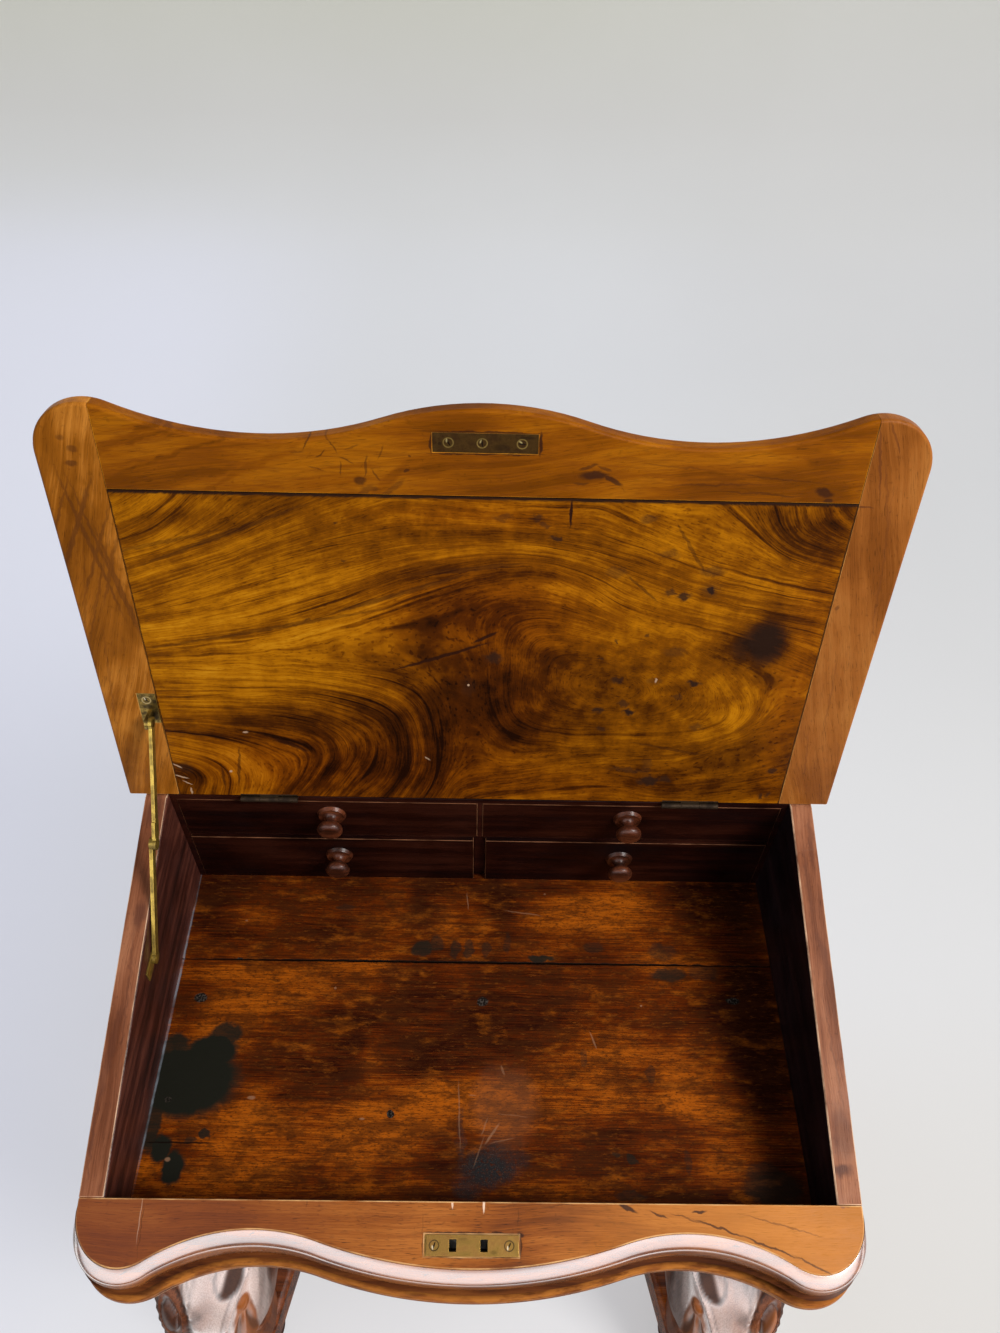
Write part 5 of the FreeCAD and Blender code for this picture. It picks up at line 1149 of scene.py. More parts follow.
PANEL_EYES = (
    (158, -213, 3.4, 3.0, 1.0), (158, -213, 7, 6, 0.4), (140, -207, 4.5, 3.5, 0.9),
    (130, -210, 4, 2.5, 0.7), (158, -129, 5, 2.6, 0.95), (128, -130, 5, 3, 0.35),
    (100, -131, 4.5, 3, 0.7), (88, -101, 4.5, 3.2, 0.85), (112, -100, 4.5, 3, 1.0),
    (107, -108, 4, 3, 0.7), (92, -82, 4, 2.6, 0.6), (165, -86, 5, 4, 0.5),
    (147, -116, 5, 2, 0.5), (8, -150, 6, 5, 0.8), (135, -28, 8, 5, 0.9),
    (148, -29, 4, 4, 0.7), (118, -39, 14, 2.4, 0.55, 8), (132, -44, 4, 9, 0.4),
    (49, -252, 4, 2, 0.8), (35, -267, 4, 2.5, 0.6), (12, -267, 7, 2.4, 0.4),
    (40, -262, 3, 2, 0.5), (109, -268, 6, 3, 0.5), (125, -241, 7, 3, 0.4),
    (157, -228, 7, 4, 0.5), (91, -226, 7, 4, 0.4), (118, -173, 2, 1.6, 0.7),
    (86, -152, 2, 1.4, 0.6), (97, -167, 1.4, 1.4, 0.7), (203, -172, 15, 14, 0.55),
    (206, -160, 12, 12, 0.5), (188, -163, 7, 11, 0.35), (-10, -122, 5, 9, 0.35),
    (-98, -259, 1.6, 1.6, 0.7), (-95, -231, 2, 1.2, 0.5), (-125, -180, 2.4, 1.6, 0.5),
    (140, -158, 8, 4, 0.4), (232, -40, 3.5, 2, 0.8), (228, -11, 2, 3, 0.8),
    (234, -14, 2, 3, 0.6), (225, -47, 2, 1, 0.6), (-234, -34, 5, 6, 0.4),
)
PANEL_CRACKS = (
    (57, -271, 0.9, 10, 1.0), (-30, -150, 36, 1.3, 0.9, -21), (2, -168, 10, 1.4, 0.9, -30),
    (-175, -249, 62, 1.8, 0.5, -23), (-215, -243, 40, 1.5, 0.4, -14),
    (-60, -204, 50, 2.0, 0.55, -20), (-150, -173, 90, 1.5, 0.45, -13),
    (-10, -226, 36, 2.0, 0.5, -8), (110, -213, 16, 1.0, 0.5, 42),
    (140, -245, 22, 1.2, 0.45, 58), (-192, -36, 1.2, 20, 0.6, 8),
    (-206, -24, 1.1, 12, 0.55), (-147, -60, 14, 2.2, 0.6, 28),
    (-50, -52, 0.8, 2.5, 0.5), (150, -62, 30, 1.4, 0.4, 12),
)
PANEL_SCRATCHES = (
    (-241, -36, 4, 0.8, 0.8, 35), (-240, -24, 6, 0.8, 0.8, 20), (-236, -17, 4, 0.6, 0.7, 30),
    (-234, -8, 0.8, 3.5, 0.8), (-182, -73, 2, 1, 0.7), (-199, -31, 1.4, 1, 0.9),
    (-10, -124, 1, 1, 0.8), (-42, -48, 2.5, 0.7, 0.6, 40), (129, -131, 0.8, 2, 0.7),
)


def two_sided(name, x, reach, low, high, numbers, turn, material, body, nodes):
    """A board of two grids of one size, joined round the rim: below and above.

    low and high give the height of each point, and numbers each point's attributes.
    """
    rows, columns = x.shape
    below = np.stack([x, -reach, low], -1).reshape(-1, 3)
    above = np.stack([x, -reach, high], -1).reshape(-1, 3)
    total = rows * columns
    faces = [face[::-1] for face in grid_faces(rows, columns)]
    faces += (np.array(grid_faces(rows, columns)) + total).tolist()
    order = np.arange(total).reshape(rows, columns)
    ring = np.concatenate([order[0, :-1], order[:-1, -1], order[-1, :0:-1],
                           order[:0:-1, 0]])
    after = np.roll(ring, -1)
    faces += np.stack([ring, after, after + total, ring + total], -1).tolist()
    numbers = {key: np.tile(value.ravel(), 2) for key, value in numbers.items()}
    points = turned(np.concatenate([below, above]), turn)
    mesh_piece(name, points, faces, material, body, nodes, attributes=numbers)


def figured_panel():
    """The middle board: a fine grid below and a recess for the leather above.

    Two close rows make each step of the recess, and the back row stands in at the
    hinges' leaves.
    """
    edge, back, front, low, high = 244.5, 3.8, 281.4, 0.3, 15.3
    gap, ease_mm, notch_mm, hair = 1.9, 0.3, 1.5, 0.01
    wide = np.arange(-edge + gap, edge - 1, gap)
    steps = [side * at for side in (-1, 1)
             for at in (edge, edge - ease_mm, LEATHER_X, LEATHER_X + hair)]
    notch = [side * HINGE_X + end for side in (-1, 1)
             for end in (-HINGE_HALF, -HINGE_HALF - hair, HINGE_HALF, HINGE_HALF + hair)]
    wide = np.unique(np.concatenate([wide, steps, notch]))
    deep = np.unique(np.concatenate([
        np.arange(back + 3, front - 1, gap), [back, back + ease_mm, back + 1.6],
        [front - ease_mm, front, LEATHER_FRONT, LEATHER_FRONT + hair, LEATHER_BACK,
         LEATHER_BACK - hair]]))
    x, reach = np.meshgrid(wide, deep)
    in_notch = np.abs(np.abs(x) - HINGE_X) < HINGE_HALF + hair / 2
    place_reach = np.where(in_notch & (reach < back + notch_mm), back + notch_mm, reach)
    rim = np.minimum(edge - np.abs(x), np.minimum(reach - back, front - reach))
    ease = ease_mm * np.clip(1 - rim / ease_mm, 0, 1)
    sunk = ((np.abs(x) < LEATHER_X + hair / 2) & (reach < LEATHER_FRONT + hair / 2)
            & (reach > LEATHER_BACK - hair / 2))
    numbers = {"level": grain_level(x, reach),
               "shade": 0.365 + soft_sum(x, reach, SHADES),
               "red": np.clip(soft_sum(x, reach, REDS), 0, 1),
               "lively": np.clip(1 + soft_sum(x, reach, LIVELY), 0.1, 1.6)}
    two_sided("figured_panel", x, place_reach, low + ease, high - ease - 1.0 * sunk,
              numbers, TURN, panel_material(), "lid", ["lid_panel"])


def floor_plank(node, back, front):
    """A board of the well's floor, with soft lighter and darker patches, the darker ones
    partly painted shade along the walls.

    back and front are distances from the hinge line, negative behind it.
    """
    wide = np.unique(np.concatenate([np.arange(-252, 253, 4.0), [-WELL_X, WELL_X]]))
    deep = np.unique(np.concatenate([np.arange(back + 2, front - 1, 4.0),
                                     [back, back + 0.6, front - 0.6, front]]))
    x, reach = np.meshgrid(wide, deep)
    rim = np.minimum(reach - back, front - reach)
    ease = 0.5 * np.clip(1 - rim / 0.6, 0, 1) ** 2
    lighter = soft_sum(x, -reach, FLOOR_LIGHT)
    # Dark figure, and painted shade along the walls
    darker = soft_sum(x, -reach, FLOOR_DARK_AND_SHADE)
    numbers = {"shade": 0.34 * np.clip(lighter, 0, 1.2) - 0.36 * np.clip(darker, 0, 1.3)}
    low, high = np.full_like(x, CASE_LOW), WELL_FLOOR - ease
    two_sided(f"plank_{node}", x, reach, low, high, numbers, 0.0, floor_wood, "desk",
              [node])


figured_panel()
floor_plank("well_floor_front", 78.9, WELL_FRONT)
floor_plank("well_floor_back", WELL_BACK, 78.0)


# Moulding round the case: a bold round from the rim, a groove and a bead

def moulding_section():
    """(out, up, share of the rise) round the section, from the rim down and back."""
    low = CASE_LOW + 3.8
    top = RIM_LOW
    bow = [(0.0, top), (0.5, top - 0.15), (2.1, top - 0.85), (3.9, top - 1.85),
           (5.7, top - 3.0), (7.3, top - 4.3), (8.4, top - 5.8), (9.0, top - 8.6),
           (9.2, top - 12.5), (9.0, top - 17.0), (8.4, top - 21.5), (7.2, top - 26.0)]
    bow = smooth_line(bow, 80)
    tall = bow[0, 1] - bow[-1, 1]
    rows = [(out, up, ((up - bow[-1, 1]) / tall) ** 1.5) for out, up in bow]
    rows += [(3.6, low + 17.2, 0), (3.0, low + 16.4, 0), (3.0, low + 15.0, 0)]
    bead = [(3.4, low + 14.4), (6.2, low + 13.4), (8.2, low + 11.0), (8.6, low + 7.6),
            (8.2, low + 4.0), (6.6, low + 1.2), (4.4, low)]
    rows += [(out, up, 0) for out, up in smooth_line(bead, 32)]
    rows += [(0.0, low, 0)]
    return np.array(rows)


def moulding_tones(section):
    """Round the section: dull below the bold round, painted shade under the round and in the
    groove, warm on the bead, and a painted highlight low on the bead.

    Each runs straight between a few heights. Past the groove deep fades by the points'
    order, because the bead comes back up to the groove's height.
    """
    up = section[:, 1] - CASE_LOW
    order = np.arange(len(section))
    # deep: painted shade under the bold round and in the groove
    deep = np.interp(up, [22, 30, 36, 46], [1, 0.6, 0.3, 0])
    deep = np.where(order > 82, np.interp(order, [83, 86, 91], [1, 0.6, 0]), deep)
    return {"dull": np.interp(up, [6, 10, 17, 45, 50.6, 52], [0.8, 0.9, 1, 0.95, 0.9, 0]),
            "deep": deep,
            "warm": np.interp(up, [3.8, 4.2, 6, 17.5, 18.5, 36, 44, 51],
                              [0, 1, 1, 1, 0, 0, 0.5, 0]),
            "pale": np.interp(up, [7.4, 8.4, 9.6, 10.6], [0, 0.8, 0.8, 0])}


def closer(points, outward):
    """The same line with more stations near the middle, where the keyhole is."""
    half, gap = 5.0, 0.35
    index = np.arange(len(points))
    near = np.interp(np.arange(-half, half, gap), points[:, 0], index)
    at = np.unique(np.concatenate([index, near]))
    points = np.stack([np.interp(at, index, points[:, k]) for k in (0, 1)], 1)
    outward = np.stack([np.interp(at, index, outward[:, k]) for k in (0, 1)], 1)
    return points, outward / np.hypot(*outward.T)[:, None]


def keyhole(grid, numbers):
    """The keyhole: front points inside its circle go back, painted dark for the shade inside
    it, and dull.
    """
    x, up, radius, face, depth = KEYHOLE
    away = np.hypot(grid[..., 0] - x, grid[..., 2] - up)
    near = (away < radius) & (grid[..., 1] < face)
    grid[..., 1] += depth * near
    # Painted shade inside the keyhole
    for key in ("deep", "dull"):
        numbers[key] = np.maximum(numbers[key], 1.0 * near)
    return grid


def moulding_finish(tree, flat, colour, out, worn):
    """Painted shade in the groove, a warm bead with a painted highlight on its lower edge,
    and nicks on the round.
    """
    patches = span(tree, noise(tree, moved(tree, flat, scale=(0.05, 0.12, 0.3)), 1.0, 5.0,
                               0.65), 0.38, 0.62, 0.15, 0.95)
    warm = calc(tree, "MULTIPLY", attribute(tree, "warm"), patches)
    colour = mix(tree, warm, colour, (0.36, 0.125, 0.022))
    smudge = span(tree, noise(tree, moved(tree, flat, shift=(5, 60, 0),
                                          scale=(0.02, 0.1, 0.1)), 1.0, 3.0), 0.52, 0.7,
                  0.0, 0.5)
    colour = mix(tree, smudge, colour, (0.05, 0.018, 0.008))
    # Painted shade where deep says
    colour = mix(tree, attribute(tree, "deep"), colour, (0.016, 0.006, 0.004))
    # Painted highlight on the bead
    colour = mix(tree, attribute(tree, "pale"), colour, (0.75, 0.5, 0.33))
    return marked(nicks)(tree, flat, colour, out, worn)


# The keyhole's x, height and radius, where the front face begins, and its depth
KEYHOLE = (1.3, -104.05, 2.4, -324, 8.0)
line, outward = closer(*front_line(**CASE_FRONT))
rise = line[:, 1] * math.tan(SLOPE) - RIM_LOW
ahead = np.clip(-outward[:, 1], 0, 1) ** 0.9
swell, flare = 0.12 + 0.88 * ahead, 0.5 + 1.0 * ahead
nicks = []
for nick_x, off, length in ((-236, 2.0, 3.5), (-196, 4.0, 2.0), (-178, 3.4, 2.6),
                            (-120, 4.6, 1.6), (-150, 2.4, 1.8), (-30, 3.6, 1.5),
                            (64, 2.8, 2.2), (118, 4.4, 1.5), (182, 3.0, 2.4)):
    spot = int(np.argmin(np.abs(line[:, 0] - nick_x)))
    nick = line[spot] + outward[spot] * off
    slant = math.degrees(math.atan2(outward[spot, 0], -outward[spot, 1]))
    nicks.append((nick[0], nick[1], length, 0.4, 0.7, slant + 8))
moulding_wood = wood("moulding_wood", ((0.07, 0.018, 0.006), (0.17, 0.045, 0.010),
                                       (0.28, 0.085, 0.018)), rough=(0.2, 0.28), coat=1.0,
                     bump=0.02, gloss=0.8, coat_rough=0.2, coat_ior=2.0, dull=True,
                     extra=moulding_finish)
section = moulding_section()
sweep("moulding_front", line, outward, section, rise, swell, flare, moulding_wood, "desk",
      ["front_moulding"], moulding_tones(section), keyhole)
corner_y = CASE_FRONT["corner"] - CASE_FRONT["peak"]
for side, name in ((-1, "left"), (1, "right")):
    ends = np.array([[side * CASE_FRONT["half"], y]
                     for y in (-WELL_BACK, 100.0, 0.0, -150.0, corner_y)])
    ends = ends[::-1] if side > 0 else ends
    ways = np.tile([[float(side), 0.0]], (5, 1))
    # The sides keep less of the painted shade
    tones = {key: value * (0.4 if key == "deep" else 1.0)
             for key, value in moulding_tones(section).items()}
    sweep(f"moulding_{name}", ends, ways, section, np.full(5, rise[0]),
          np.interp(ends[:, 1], [corner_y, -150], [0.12, 0.45]),
          np.interp(ends[:, 1], [corner_y, -150], [0.5, 0.9]), moulding_wood, "desk",
          ["side_mouldings"] if side < 0 else (), tones)


# Carved legs

LEG_ROWS = (  # share of the height, swing, reach past the foot, half width, half depth
    (0.0, 0.0, 8.0, 38.0, 34.0), (0.045, 0.0, 24.0, 40.5, 46.0),
    (0.12, 0.0, 41.0, 41.5, 51.0), (0.22, 0.016, 35.0, 39.0, 44.0),
    (0.42, 0.242, 4.0, 30.0, 28.0), (0.62, 0.597, -13.0, 23.5, 23.0),
    (0.80, 0.903, -11.0, 23.5, 24.0), (0.92, 1.0, 0.0, 27.0, 30.0),
    (1.0, 1.0, 2.0, 27.0, 28.0))
LEG_TOP_X, LEG_FOOT_X, FOOT_REACH, LEG_END = 199.0, 252.0, 258.0, -680.0
# Ovals of the carving: round the leg, down it, half width, half height, turn in degrees
WING = (46, 46, 40, 44, 0)
EYE = (23, 38, 6.5, 10.5, 8)
DROP = (-23, 11, 10.5, 15, -33)
LEAF = (-34, 62, 11, 34, 0)
LEAF_BOSS = (-33, 33, 4.6, 4.6, 0)
INNER_LEAF = (-66, 56, 15, 56, 0)
# Down the leg: the long leaf's top and length, the knee's boss, two rings at the ankle,
# the cut leaves on the foot
LONG_LEAF, KNEE_BOSS, ANKLE_RINGS, FOOT_LEAVES = (96, 190), 276, (470, 482), (488, 536)
# Ridges between the drop and the wing: half width, height and route
RIDGES = ((1.2, 1.5, ((8, -4), (6, 18), (3, 32), (-1, 50), (-4, 90))),
          (1.3, 1.8, ((13, -4), (10, 18), (7, 32), (3, 50), (0, 90))),
          (1.5, 2.4, ((-46, 6), (-38, 13), (-30, 20), (-25, 28), (-20, 39), (-17, 52),
                      (-12, 90))))


def blend_rows(table, share):
    """Smooth values between a table's rows: a cubic that keeps each row's slope."""
    table = np.asarray(table)
    at, values = table[:, 0], table[:, 1:]
    slope = np.gradient(values, at, axis=0)
    index = np.clip(np.searchsorted(at, share, side="right") - 1, 0, len(at) - 2)
    width = (at[index + 1] - at[index])[:, None]
    t = (share[:, None] - at[index, None]) / width
    a, b = values[index], values[index + 1]
    m, n = slope[index] * width, slope[index + 1] * width
    return ((2 * t ** 3 - 3 * t ** 2 + 1) * a + (t ** 3 - 2 * t ** 2 + t) * m
            + (3 * t ** 2 - 2 * t ** 3) * b + (t ** 3 - t ** 2) * n)


def to_line(s, v, route):
    """The distance of each place from a bent line."""
    route = smooth_line(route, 24)
    best = np.full(s.shape, 1e9)
    for a, b in zip(route[:-1], route[1:]):
        way = b - a
        along = ((s - a[0]) * way[0] + (v - a[1]) * way[1]) / (way @ way)
        along = np.clip(along, 0, 1)
        best = np.minimum(best, np.hypot(s - a[0] - along * way[0],
                                         v - a[1] - along * way[1]))
    return best


def oval(s, v, row):
    """How far out in a turned oval a place lies: 0 in its middle and 1 on its edge."""
    cx, cy, wide, tall, angle = row
    c, q = math.cos(math.radians(angle)), math.sin(math.radians(angle))
    a, b = (s - cx) * c + (v - cy) * q, (v - cy) * c - (s - cx) * q
    return np.hypot(a / wide, b / tall)


def step(value, start, end):
    """A smooth step from 0 to 1."""
    t = np.clip((value - start) / (end - start), 0, 1)
    return t * t * (3 - 2 * t)


def carving(s, v, side):
    """A leg's carved relief in millimetres, and its hollow places with painted shade, its
    warm and dull places, and pale places with a painted sheen.

    s runs round the leg from the middle of its front, outwards first, and v runs down
    from its top. A carved wing with an oval boss turns round the outer corner, a
    drop-shaped hollow and long ridges part the smooth front, and a veined leaf with a
    small boss stands on the inner corner. A long leaf runs down below the knee.
    """
    wing = step(oval(s, v, WING), 1.03, 0.95)
    eye = oval(s, v, EYE)
    angle = np.arctan2(v - EYE[1], s - EYE[0])
    far = np.hypot(s - EYE[0], v - EYE[1])
    rays = np.cos(11 * angle + 0.35 * far) + 0.5 * np.cos(23 * angle - 0.5 * far)
    relief = wing * (0.8 * rays * step(eye, 1.7, 2.6) - 1.0)
    relief += wing * 2.2 * np.exp(-((eye - 1.55) / 0.24) ** 2)
    relief = np.where(eye < 1, 2.4 * np.sqrt(np.clip(1 - eye ** 2, 0, 1)) + 0.6, relief)
    drop = oval(s, v, DROP)
    hollow = step(drop, 1.05, 0.95) * (1.4 + 3.2 * step(drop, 0.95, 0.2))
    relief = relief - hollow
    # line is a band beside each ridge, darkened below as painted shade
    line = np.zeros(s.shape)
    for wide, tall, route in RIDGES:
        away = to_line(s, v, route)
        relief += tall * np.exp(-(away / wide) ** 2)
        line = np.maximum(line, np.exp(-((away - 2 * wide) / 0.8) ** 2))
    leaf = step(oval(s, v, LEAF), 1.05, 0.9)
    vein = np.cos(np.arctan2(s + 33, np.abs(v - 34) + 6) * 15) * step(v, 38, 46)
    relief += leaf * (1.1 * vein - 0.5)
    boss = oval(s, v, LEAF_BOSS)
    relief += 2.2 * np.sqrt(np.clip(1 - boss ** 2, 0, 1))
    inner = step(oval(s, v, INNER_LEAF), 1.05, 0.9)
    relief += inner * 0.6 * np.cos(s * 1.5) * np.cos(v * 1.3 + 0.9 * s)
    wide = np.clip(34 * (1 - (v - LONG_LEAF[0]) / LONG_LEAF[1]), 0, 34)
    wide = wide * (1 + 0.16 * np.cos(v / 8.5))
    long_leaf = step(np.abs(s), wide + 1.5, wide - 1.5) * step(v, 104, 122)
    fan = np.cos((s / np.maximum(wide, 4)) * 11)
    relief += long_leaf * (0.9 + 1.1 * fan) + 1.6 * long_leaf * np.exp(-(s / 2.2) ** 2)
    relief += 4.0 * np.exp(-((v - KNEE_BOSS) / 9) ** 2 - (s / 9) ** 2)
    back_leaf = step(np.abs(np.abs(s) - 100), 26, 22) * step(v, 20, 130)
    back_leaf = back_leaf * step(v, 300, 160)
    relief += back_leaf * 0.8 * np.cos((v + 0.5 * s) / 4.2)
    for ring, wide_ring in zip(ANKLE_RINGS, (3.5, 2.5)):
        relief += 1.8 * np.exp(-((v - ring) / wide_ring) ** 2)
    top, end = FOOT_LEAVES
    foot = step(v, top, top + 8) * step(v, end, end - 8)
    relief += foot * 1.2 * np.abs(np.sin(s / 9)) ** 0.6
    fade = step(v, 0, 3) * step(v, 538, 535)
    # One side of the drop's hollow, painted dark as shade
    right = (s - DROP[0]) * 0.839 - (v - DROP[1]) * 0.545
    painted_shade_drop = step(drop, 1.04, 0.96) * step(right, 3, -2)
    # deep: painted shade in the hollows, on the wing's ground and beside the ridges
    deep = painted_shade_drop + step(drop, 1.12, 1.02) * step(drop, 0.8, 0.95) * 0.8
    deep += wing * (0.7 + 0.3 * step(rays, 0.6, -0.8)) * (eye > 1.9)
    deep += 0.6 * line * (1 - wing) * step(v, 100, 80)
    deep += wing * 0.8 * (eye > 1) * (eye < 1.25)
    deep += 0.75 * (eye < 1) * (side < 0 or step(s + 0.3 * v, 37, 32))
    deep += 0.7 * leaf * step(vein, 0.2, -0.8) + 0.35 * inner
    deep += 0.5 * long_leaf * step(fan, 0.0, -1.0)
    warm = step(boss, 1.5, 0.7) + 0.8 * leaf + (side > 0) * step(eye, 1.1, 0.8)
    dull = wing * (eye > 1.25) + 0.8 * leaf + step(boss, 1.5, 1.0) + (eye < 1) * 0.85
    dull += painted_shade_drop
    # pale: a painted sheen on the smooth front, weaker on the right leg
    pale = step(s, 16, 11) * step(s, -80, -66) * step(v, 150, 62)
    dull += 0.78 * (1 - pale)
    pale = pale * (1 - wing) * (1 - 0.9 * leaf) * (1 - step(boss, 1.5, 1.0))
    pale = pale * (1 - painted_shade_drop) * (0.8 + 0.2 * np.cos(0.21 * s - 0.09 * v))
    pale = pale * (1.0 if side < 0 else 0.72)
    dull += 0.45 * pale
    return [relief * fade] + [np.clip(part, 0, 1) for part in (deep, warm, dull, pale)]


def leg(side):
    """One scrolled leg: rounded square sections down a bent line, carved over.

    Each section is a sine and a cosine taken to a power under 1. Swing moves it from
    the top's place to the foot's, past sets how far it stands in front, and the relief
    moves each point straight out from its section.
    """
    share = np.concatenate([np.linspace(0, 0.26, 110), np.linspace(0.265, 0.84, 90),
                            np.linspace(0.845, 1.0, 50)])
    swing, past, wide, deep = blend_rows(LEG_ROWS, share).T
    around = np.linspace(0, 2 * math.pi, 176, endpoint=False)
    bow = 2 / 3.0
    c, q = np.cos(around), np.sin(around)
    out = np.sign(q) * np.abs(q) ** bow
    ahead = np.sign(c) * np.abs(c) ** bow
    x, y = wide[:, None] * out, -deep[:, None] * ahead
    run = np.hypot(np.diff(x, axis=1, append=x[:, :1]), np.diff(y, axis=1, append=y[:, :1]))
    s = np.concatenate([np.zeros((len(share), 1)), np.cumsum(run[:, :-1], 1)], 1)
    whole = run.sum(1)[:, None]
    s = np.where(s > whole / 2, s - whole, s)
    v = (share * (CASE_LOW - LEG_END))[:, None] + 0 * s
    relief, hollow, warm, dull, pale = carving(s, v, side)
    ways_x = np.roll(y, -1, 1) - np.roll(y, 1, 1)
    ways_y = np.roll(x, 1, 1) - np.roll(x, -1, 1)
    size = np.hypot(ways_x, ways_y) + 1e-9
    x = x + relief * ways_x / size
    y = y + relief * ways_y / size
    x = x + (LEG_TOP_X + (LEG_FOOT_X - LEG_TOP_X) * swing)[:, None]
    y = y - (FOOT_REACH + past)[:, None]
    z = CASE_LOW - v
    grid = np.stack([side * x, y, z], -1)
    rows, columns = x.shape
    faces = grid_faces(rows, columns, closed=True)
    caps = [list(range(columns))[::-1], list(range((rows - 1) * columns, rows * columns))]
    faces = faces + caps
    if side > 0:
        faces = [face[::-1] for face in faces]
    name = "leg_right" if side > 0 else "leg_left"
    # deep carries the painted shade and pale the painted sheen
    numbers = {"deep": hollow, "warm": warm, "dull": 0.92 * dull, "pale": pale}
    mesh_piece(f"carved_{name}", grid.reshape(-1, 3), faces, carved_wood, "desk",
               [name], angle=50.0, attributes=numbers)


for side in (-1, 1):
    leg(side)


# Stage, lights and camera

def stage():
    """A pale floor that curves up into a pale wall: one line in y and z, drawn out in x."""
    deep = np.array([-4.0, -2.0, 0.0, 1.0, 1.6, 1.95, 2.2, 2.35, 2.42, 2.45, 2.46, 2.46])
    up = np.array([0, 0, 0, 0, 0.0, 0.03, 0.11, 0.24, 0.42, 0.65, 1.2, 5.0])
    wide = np.linspace(-9, 9, 9)
    grid = np.stack(np.broadcast_arrays(wide[None, :], deep[:, None], up[:, None]), -1)
    mesh = bpy.data.meshes.new("stage_floor")
    mesh.from_pydata(grid.reshape(-1, 3).tolist(), [], grid_faces(len(deep), len(wide)))
    mesh.shade_smooth()
    floor = bpy.data.objects.new("stage_floor", mesh)
    bpy.context.scene.collection.objects.link(floor)
    mesh.materials.append(stage_material())


def stage_material():
    """Pale floor and wall: a painted glow to the camera, and dim in front when mirrored.

    painted_glow is the colour that the camera sees, a glow with painted light and shade:
    cooler at the left and on the floor, lighter in front, darker up the wall, towards the
    right and at the right front. In mirrors the stage is dark in a cone in front of the
    desk, with one bright strip.
    """
    made, tree, shader = start_material("stage_white")
    source = place(tree, "ShaderNodeTexCoord").outputs["Object"]
    axes = separate(tree, source)
    cloud = span(tree, noise(tree, source, 1.3, 3.0), 0.3, 0.7)
    tall = span(tree, axes[2], 0.0, 1.0)
    near = span(tree, axes[1], 1.6, -0.4)
    # Mostly a glow with painted light and shade instead of lit
    painted_glow = ramp(tree, tall, [(0.0, (0.64, 0.66, 0.71)), (0.1, (0.58, 0.59, 0.60)),
                             (0.35, (0.51, 0.505, 0.48)), (0.9, (0.46, 0.46, 0.345))])
    painted_glow = mix(tree, calc(tree, "MULTIPLY", near, 0.7), painted_glow, (0.76, 0.75, 0.77))
    cool = calc(tree, "MULTIPLY", span(tree, axes[0], -0.2, -0.9, 0.0, 0.7),
                span(tree, axes[2], 0.3, 0.0))
    painted_glow = mix(tree, cool, painted_glow, (0.76, 0.79, 0.98))
    # Painted shade at the right front
    corner = calc(tree, "MULTIPLY", span(tree, axes[0], 0.1, 0.5), span(tree, near, 0.7, 1.0))
    painted_glow = mix(tree, corner, painted_glow, (0.60, 0.56, 0.51))
    # Painted shade towards the right
    right = span(tree, axes[0], 0.1, 1.0, 0.0, 0.5)
    painted_glow = mix(tree, right, painted_glow, (0.52, 0.51, 0.49))
    painted_glow = mix(tree, calc(tree, "MULTIPLY", cloud, 0.08), painted_glow, (0.85, 0.85, 0.86))
    shader.inputs["Base Color"].default_value = (0.8, 0.8, 0.8, 1)
    shader.inputs["Roughness"].default_value = 0.8
    shader.inputs["Specular IOR Level"].default_value = 0.0
    path = place(tree, "ShaderNodeLightPath").outputs
    glow = place(tree, "ShaderNodeEmission", {"Color": painted_glow, "Strength": 1.0}).outputs[0]
    seen = place(tree, "ShaderNodeMixShader", {0: 0.62, 1: shader.outputs[0], 2: glow})
    cone = calc(tree, "MULTIPLY_ADD", axes[1], 0.33, calc(tree, "ABSOLUTE", axes[0]))
    cone = span(tree, cone, 0.05, 0.45, 0.05, 0.6)
    strip = calc(tree, "MULTIPLY", span(tree, axes[1], -1.7, -1.3),
                 span(tree, axes[1], -0.55, -0.8))
    bright = calc(tree, "MULTIPLY_ADD", strip, 2.6, cone)
    dim = place(tree, "ShaderNodeEmission", {"Strength": bright}).outputs[0]
    first = place(tree, "ShaderNodeMixShader", {0: path["Is Camera Ray"],
                                                1: shader.outputs[0],
                                                2: seen.outputs[0]})
    last = place(tree, "ShaderNodeMixShader", {0: path["Is Glossy Ray"],
                                               1: first.outputs[0], 2: dim})
    output = next(n for n in tree.nodes if n.type == "OUTPUT_MATERIAL")
    tree.links.new(last.outputs[0], output.inputs[0])
    return made


def area_light(name, spot, aim, size, power, colour):
    """A soft rectangular light that looks at a point."""
    lamp = bpy.data.lights.new(name, "AREA")
    lamp.shape = "RECTANGLE"
    lamp.size, lamp.size_y = size
    lamp.energy = power
    lamp.color = colour
    holder = bpy.data.objects.new(name, lamp)
    holder.location = spot
    way = Vector(aim) - Vector(spot)
    holder.rotation_euler = way.to_track_quat("-Z", "Y").to_euler()
    holder.visible_camera = False
    bpy.context.scene.collection.objects.link(holder)


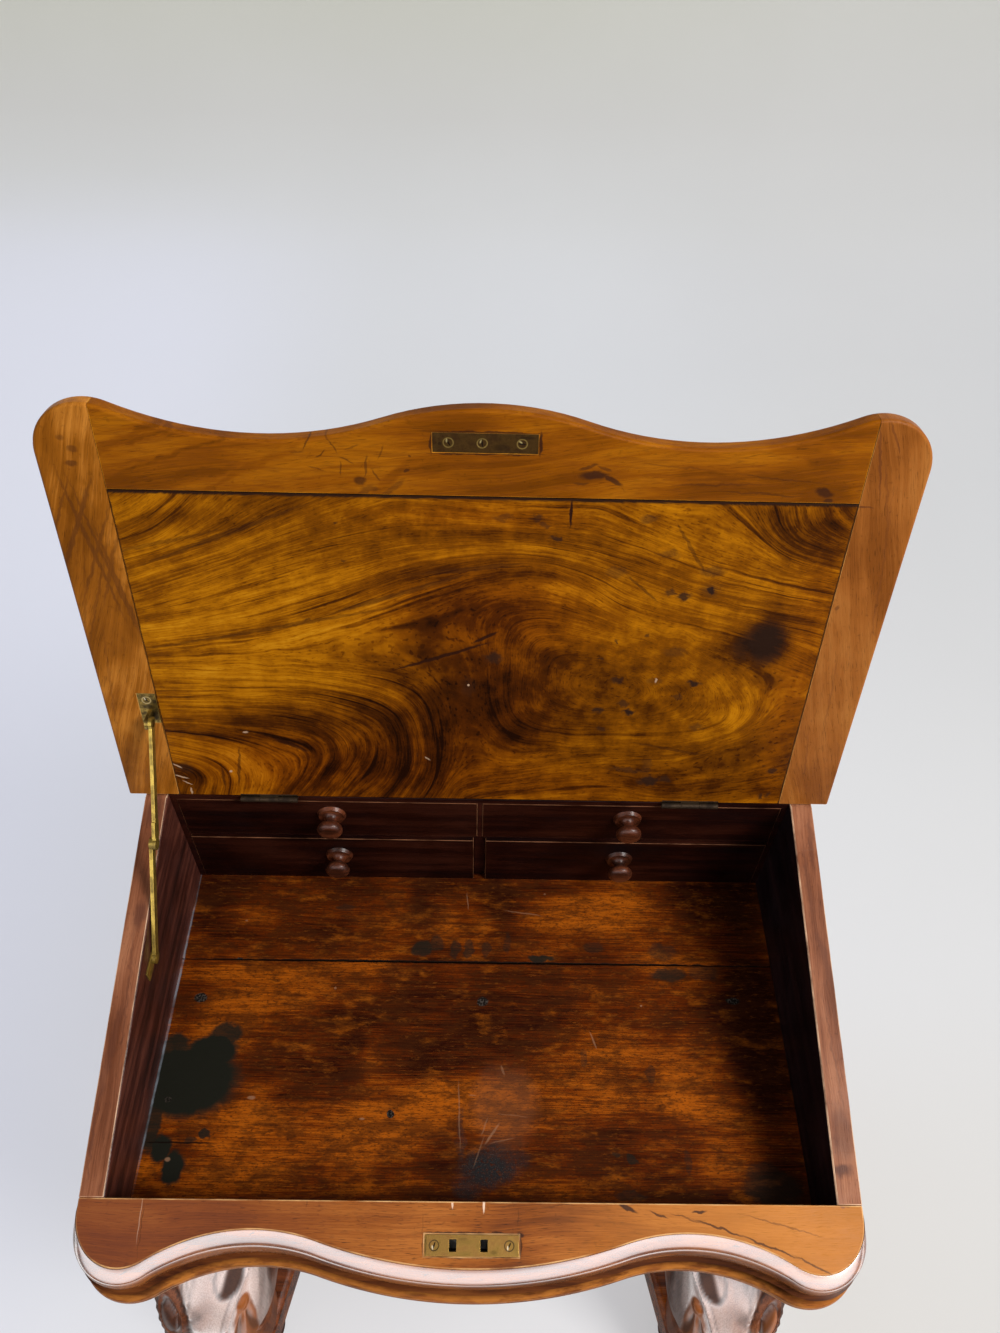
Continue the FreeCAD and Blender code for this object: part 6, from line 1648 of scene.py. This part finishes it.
def world():
    """A pale room. Mirrored, it is dim above with soft windows in front and right."""
    made = bpy.data.worlds.new("pale_room")
    bpy.context.scene.world = made
    made.use_nodes = True
    tree = made.node_tree
    tree.nodes.clear()
    source = place(tree, "ShaderNodeTexCoord").outputs["Generated"]
    axes = separate(tree, source)
    sky = ramp(tree, span(tree, axes[2], -0.4, 0.8),
               [(0.0, (0.55, 0.55, 0.57)), (1.0, (0.95, 0.97, 1.0))])
    low = span(tree, axes[2], -0.02, 0.2)
    high = span(tree, axes[2], 0.93, 0.68)
    front = calc(tree, "MULTIPLY", low, high)
    front = calc(tree, "MULTIPLY", front, span(tree, axes[1], -0.1, -0.5, 0.0, 4.2))
    toward = place(tree, "ShaderNodeVectorMath", {0: source, 1: (0.66, -0.35, 0.66)},
                   operation="DOT_PRODUCT").outputs["Value"]
    key = span(tree, toward, 0.72, 0.97, 0.0, 0.8)
    mirrored = calc(tree, "ADD", calc(tree, "ADD", front, key), 0.16)
    path = place(tree, "ShaderNodeLightPath").outputs
    strength = mix(tree, path["Is Glossy Ray"], (0.62, 0.62, 0.62), mirrored)
    back = place(tree, "ShaderNodeBackground", {"Color": sky, "Strength": strength})
    output = tree.nodes.new("ShaderNodeOutputWorld")
    tree.links.new(back.outputs[0], output.inputs[0])


def camera():
    """The camera of the photograph: its place, pitch, yaw, roll and lens."""
    spot, pitch, yaw, roll = (0.00277, -0.3897, 1.5036), 49.45, 1.21, -1.93
    data = bpy.data.cameras.new("camera")
    data.lens = 27.817
    data.sensor_width = 36.0
    holder = bpy.data.objects.new("camera", data)
    bpy.context.scene.collection.objects.link(holder)
    pitch, yaw, roll = (math.radians(angle) for angle in (pitch, yaw, roll))
    forward = Vector((math.sin(yaw) * math.cos(pitch), math.cos(yaw) * math.cos(pitch),
                      -math.sin(pitch)))
    right = Vector((math.cos(yaw), -math.sin(yaw), 0))
    down = forward.cross(right)
    right, down = (right * math.cos(roll) + down * math.sin(roll),
                   down * math.cos(roll) - right * math.sin(roll))
    turn = Matrix((right, -down, -forward)).transposed()
    holder.matrix_world = Matrix.Translation(spot) @ turn.to_4x4()
    bpy.context.scene.camera = holder


stage()
world()
camera()
area_light("key", (1.5, -0.9, 2.6), (0, 0, 0.8), (0.9, 0.9), 78, (1, 0.98, 0.95))
bpy.context.scene.view_settings.view_transform = "Standard"
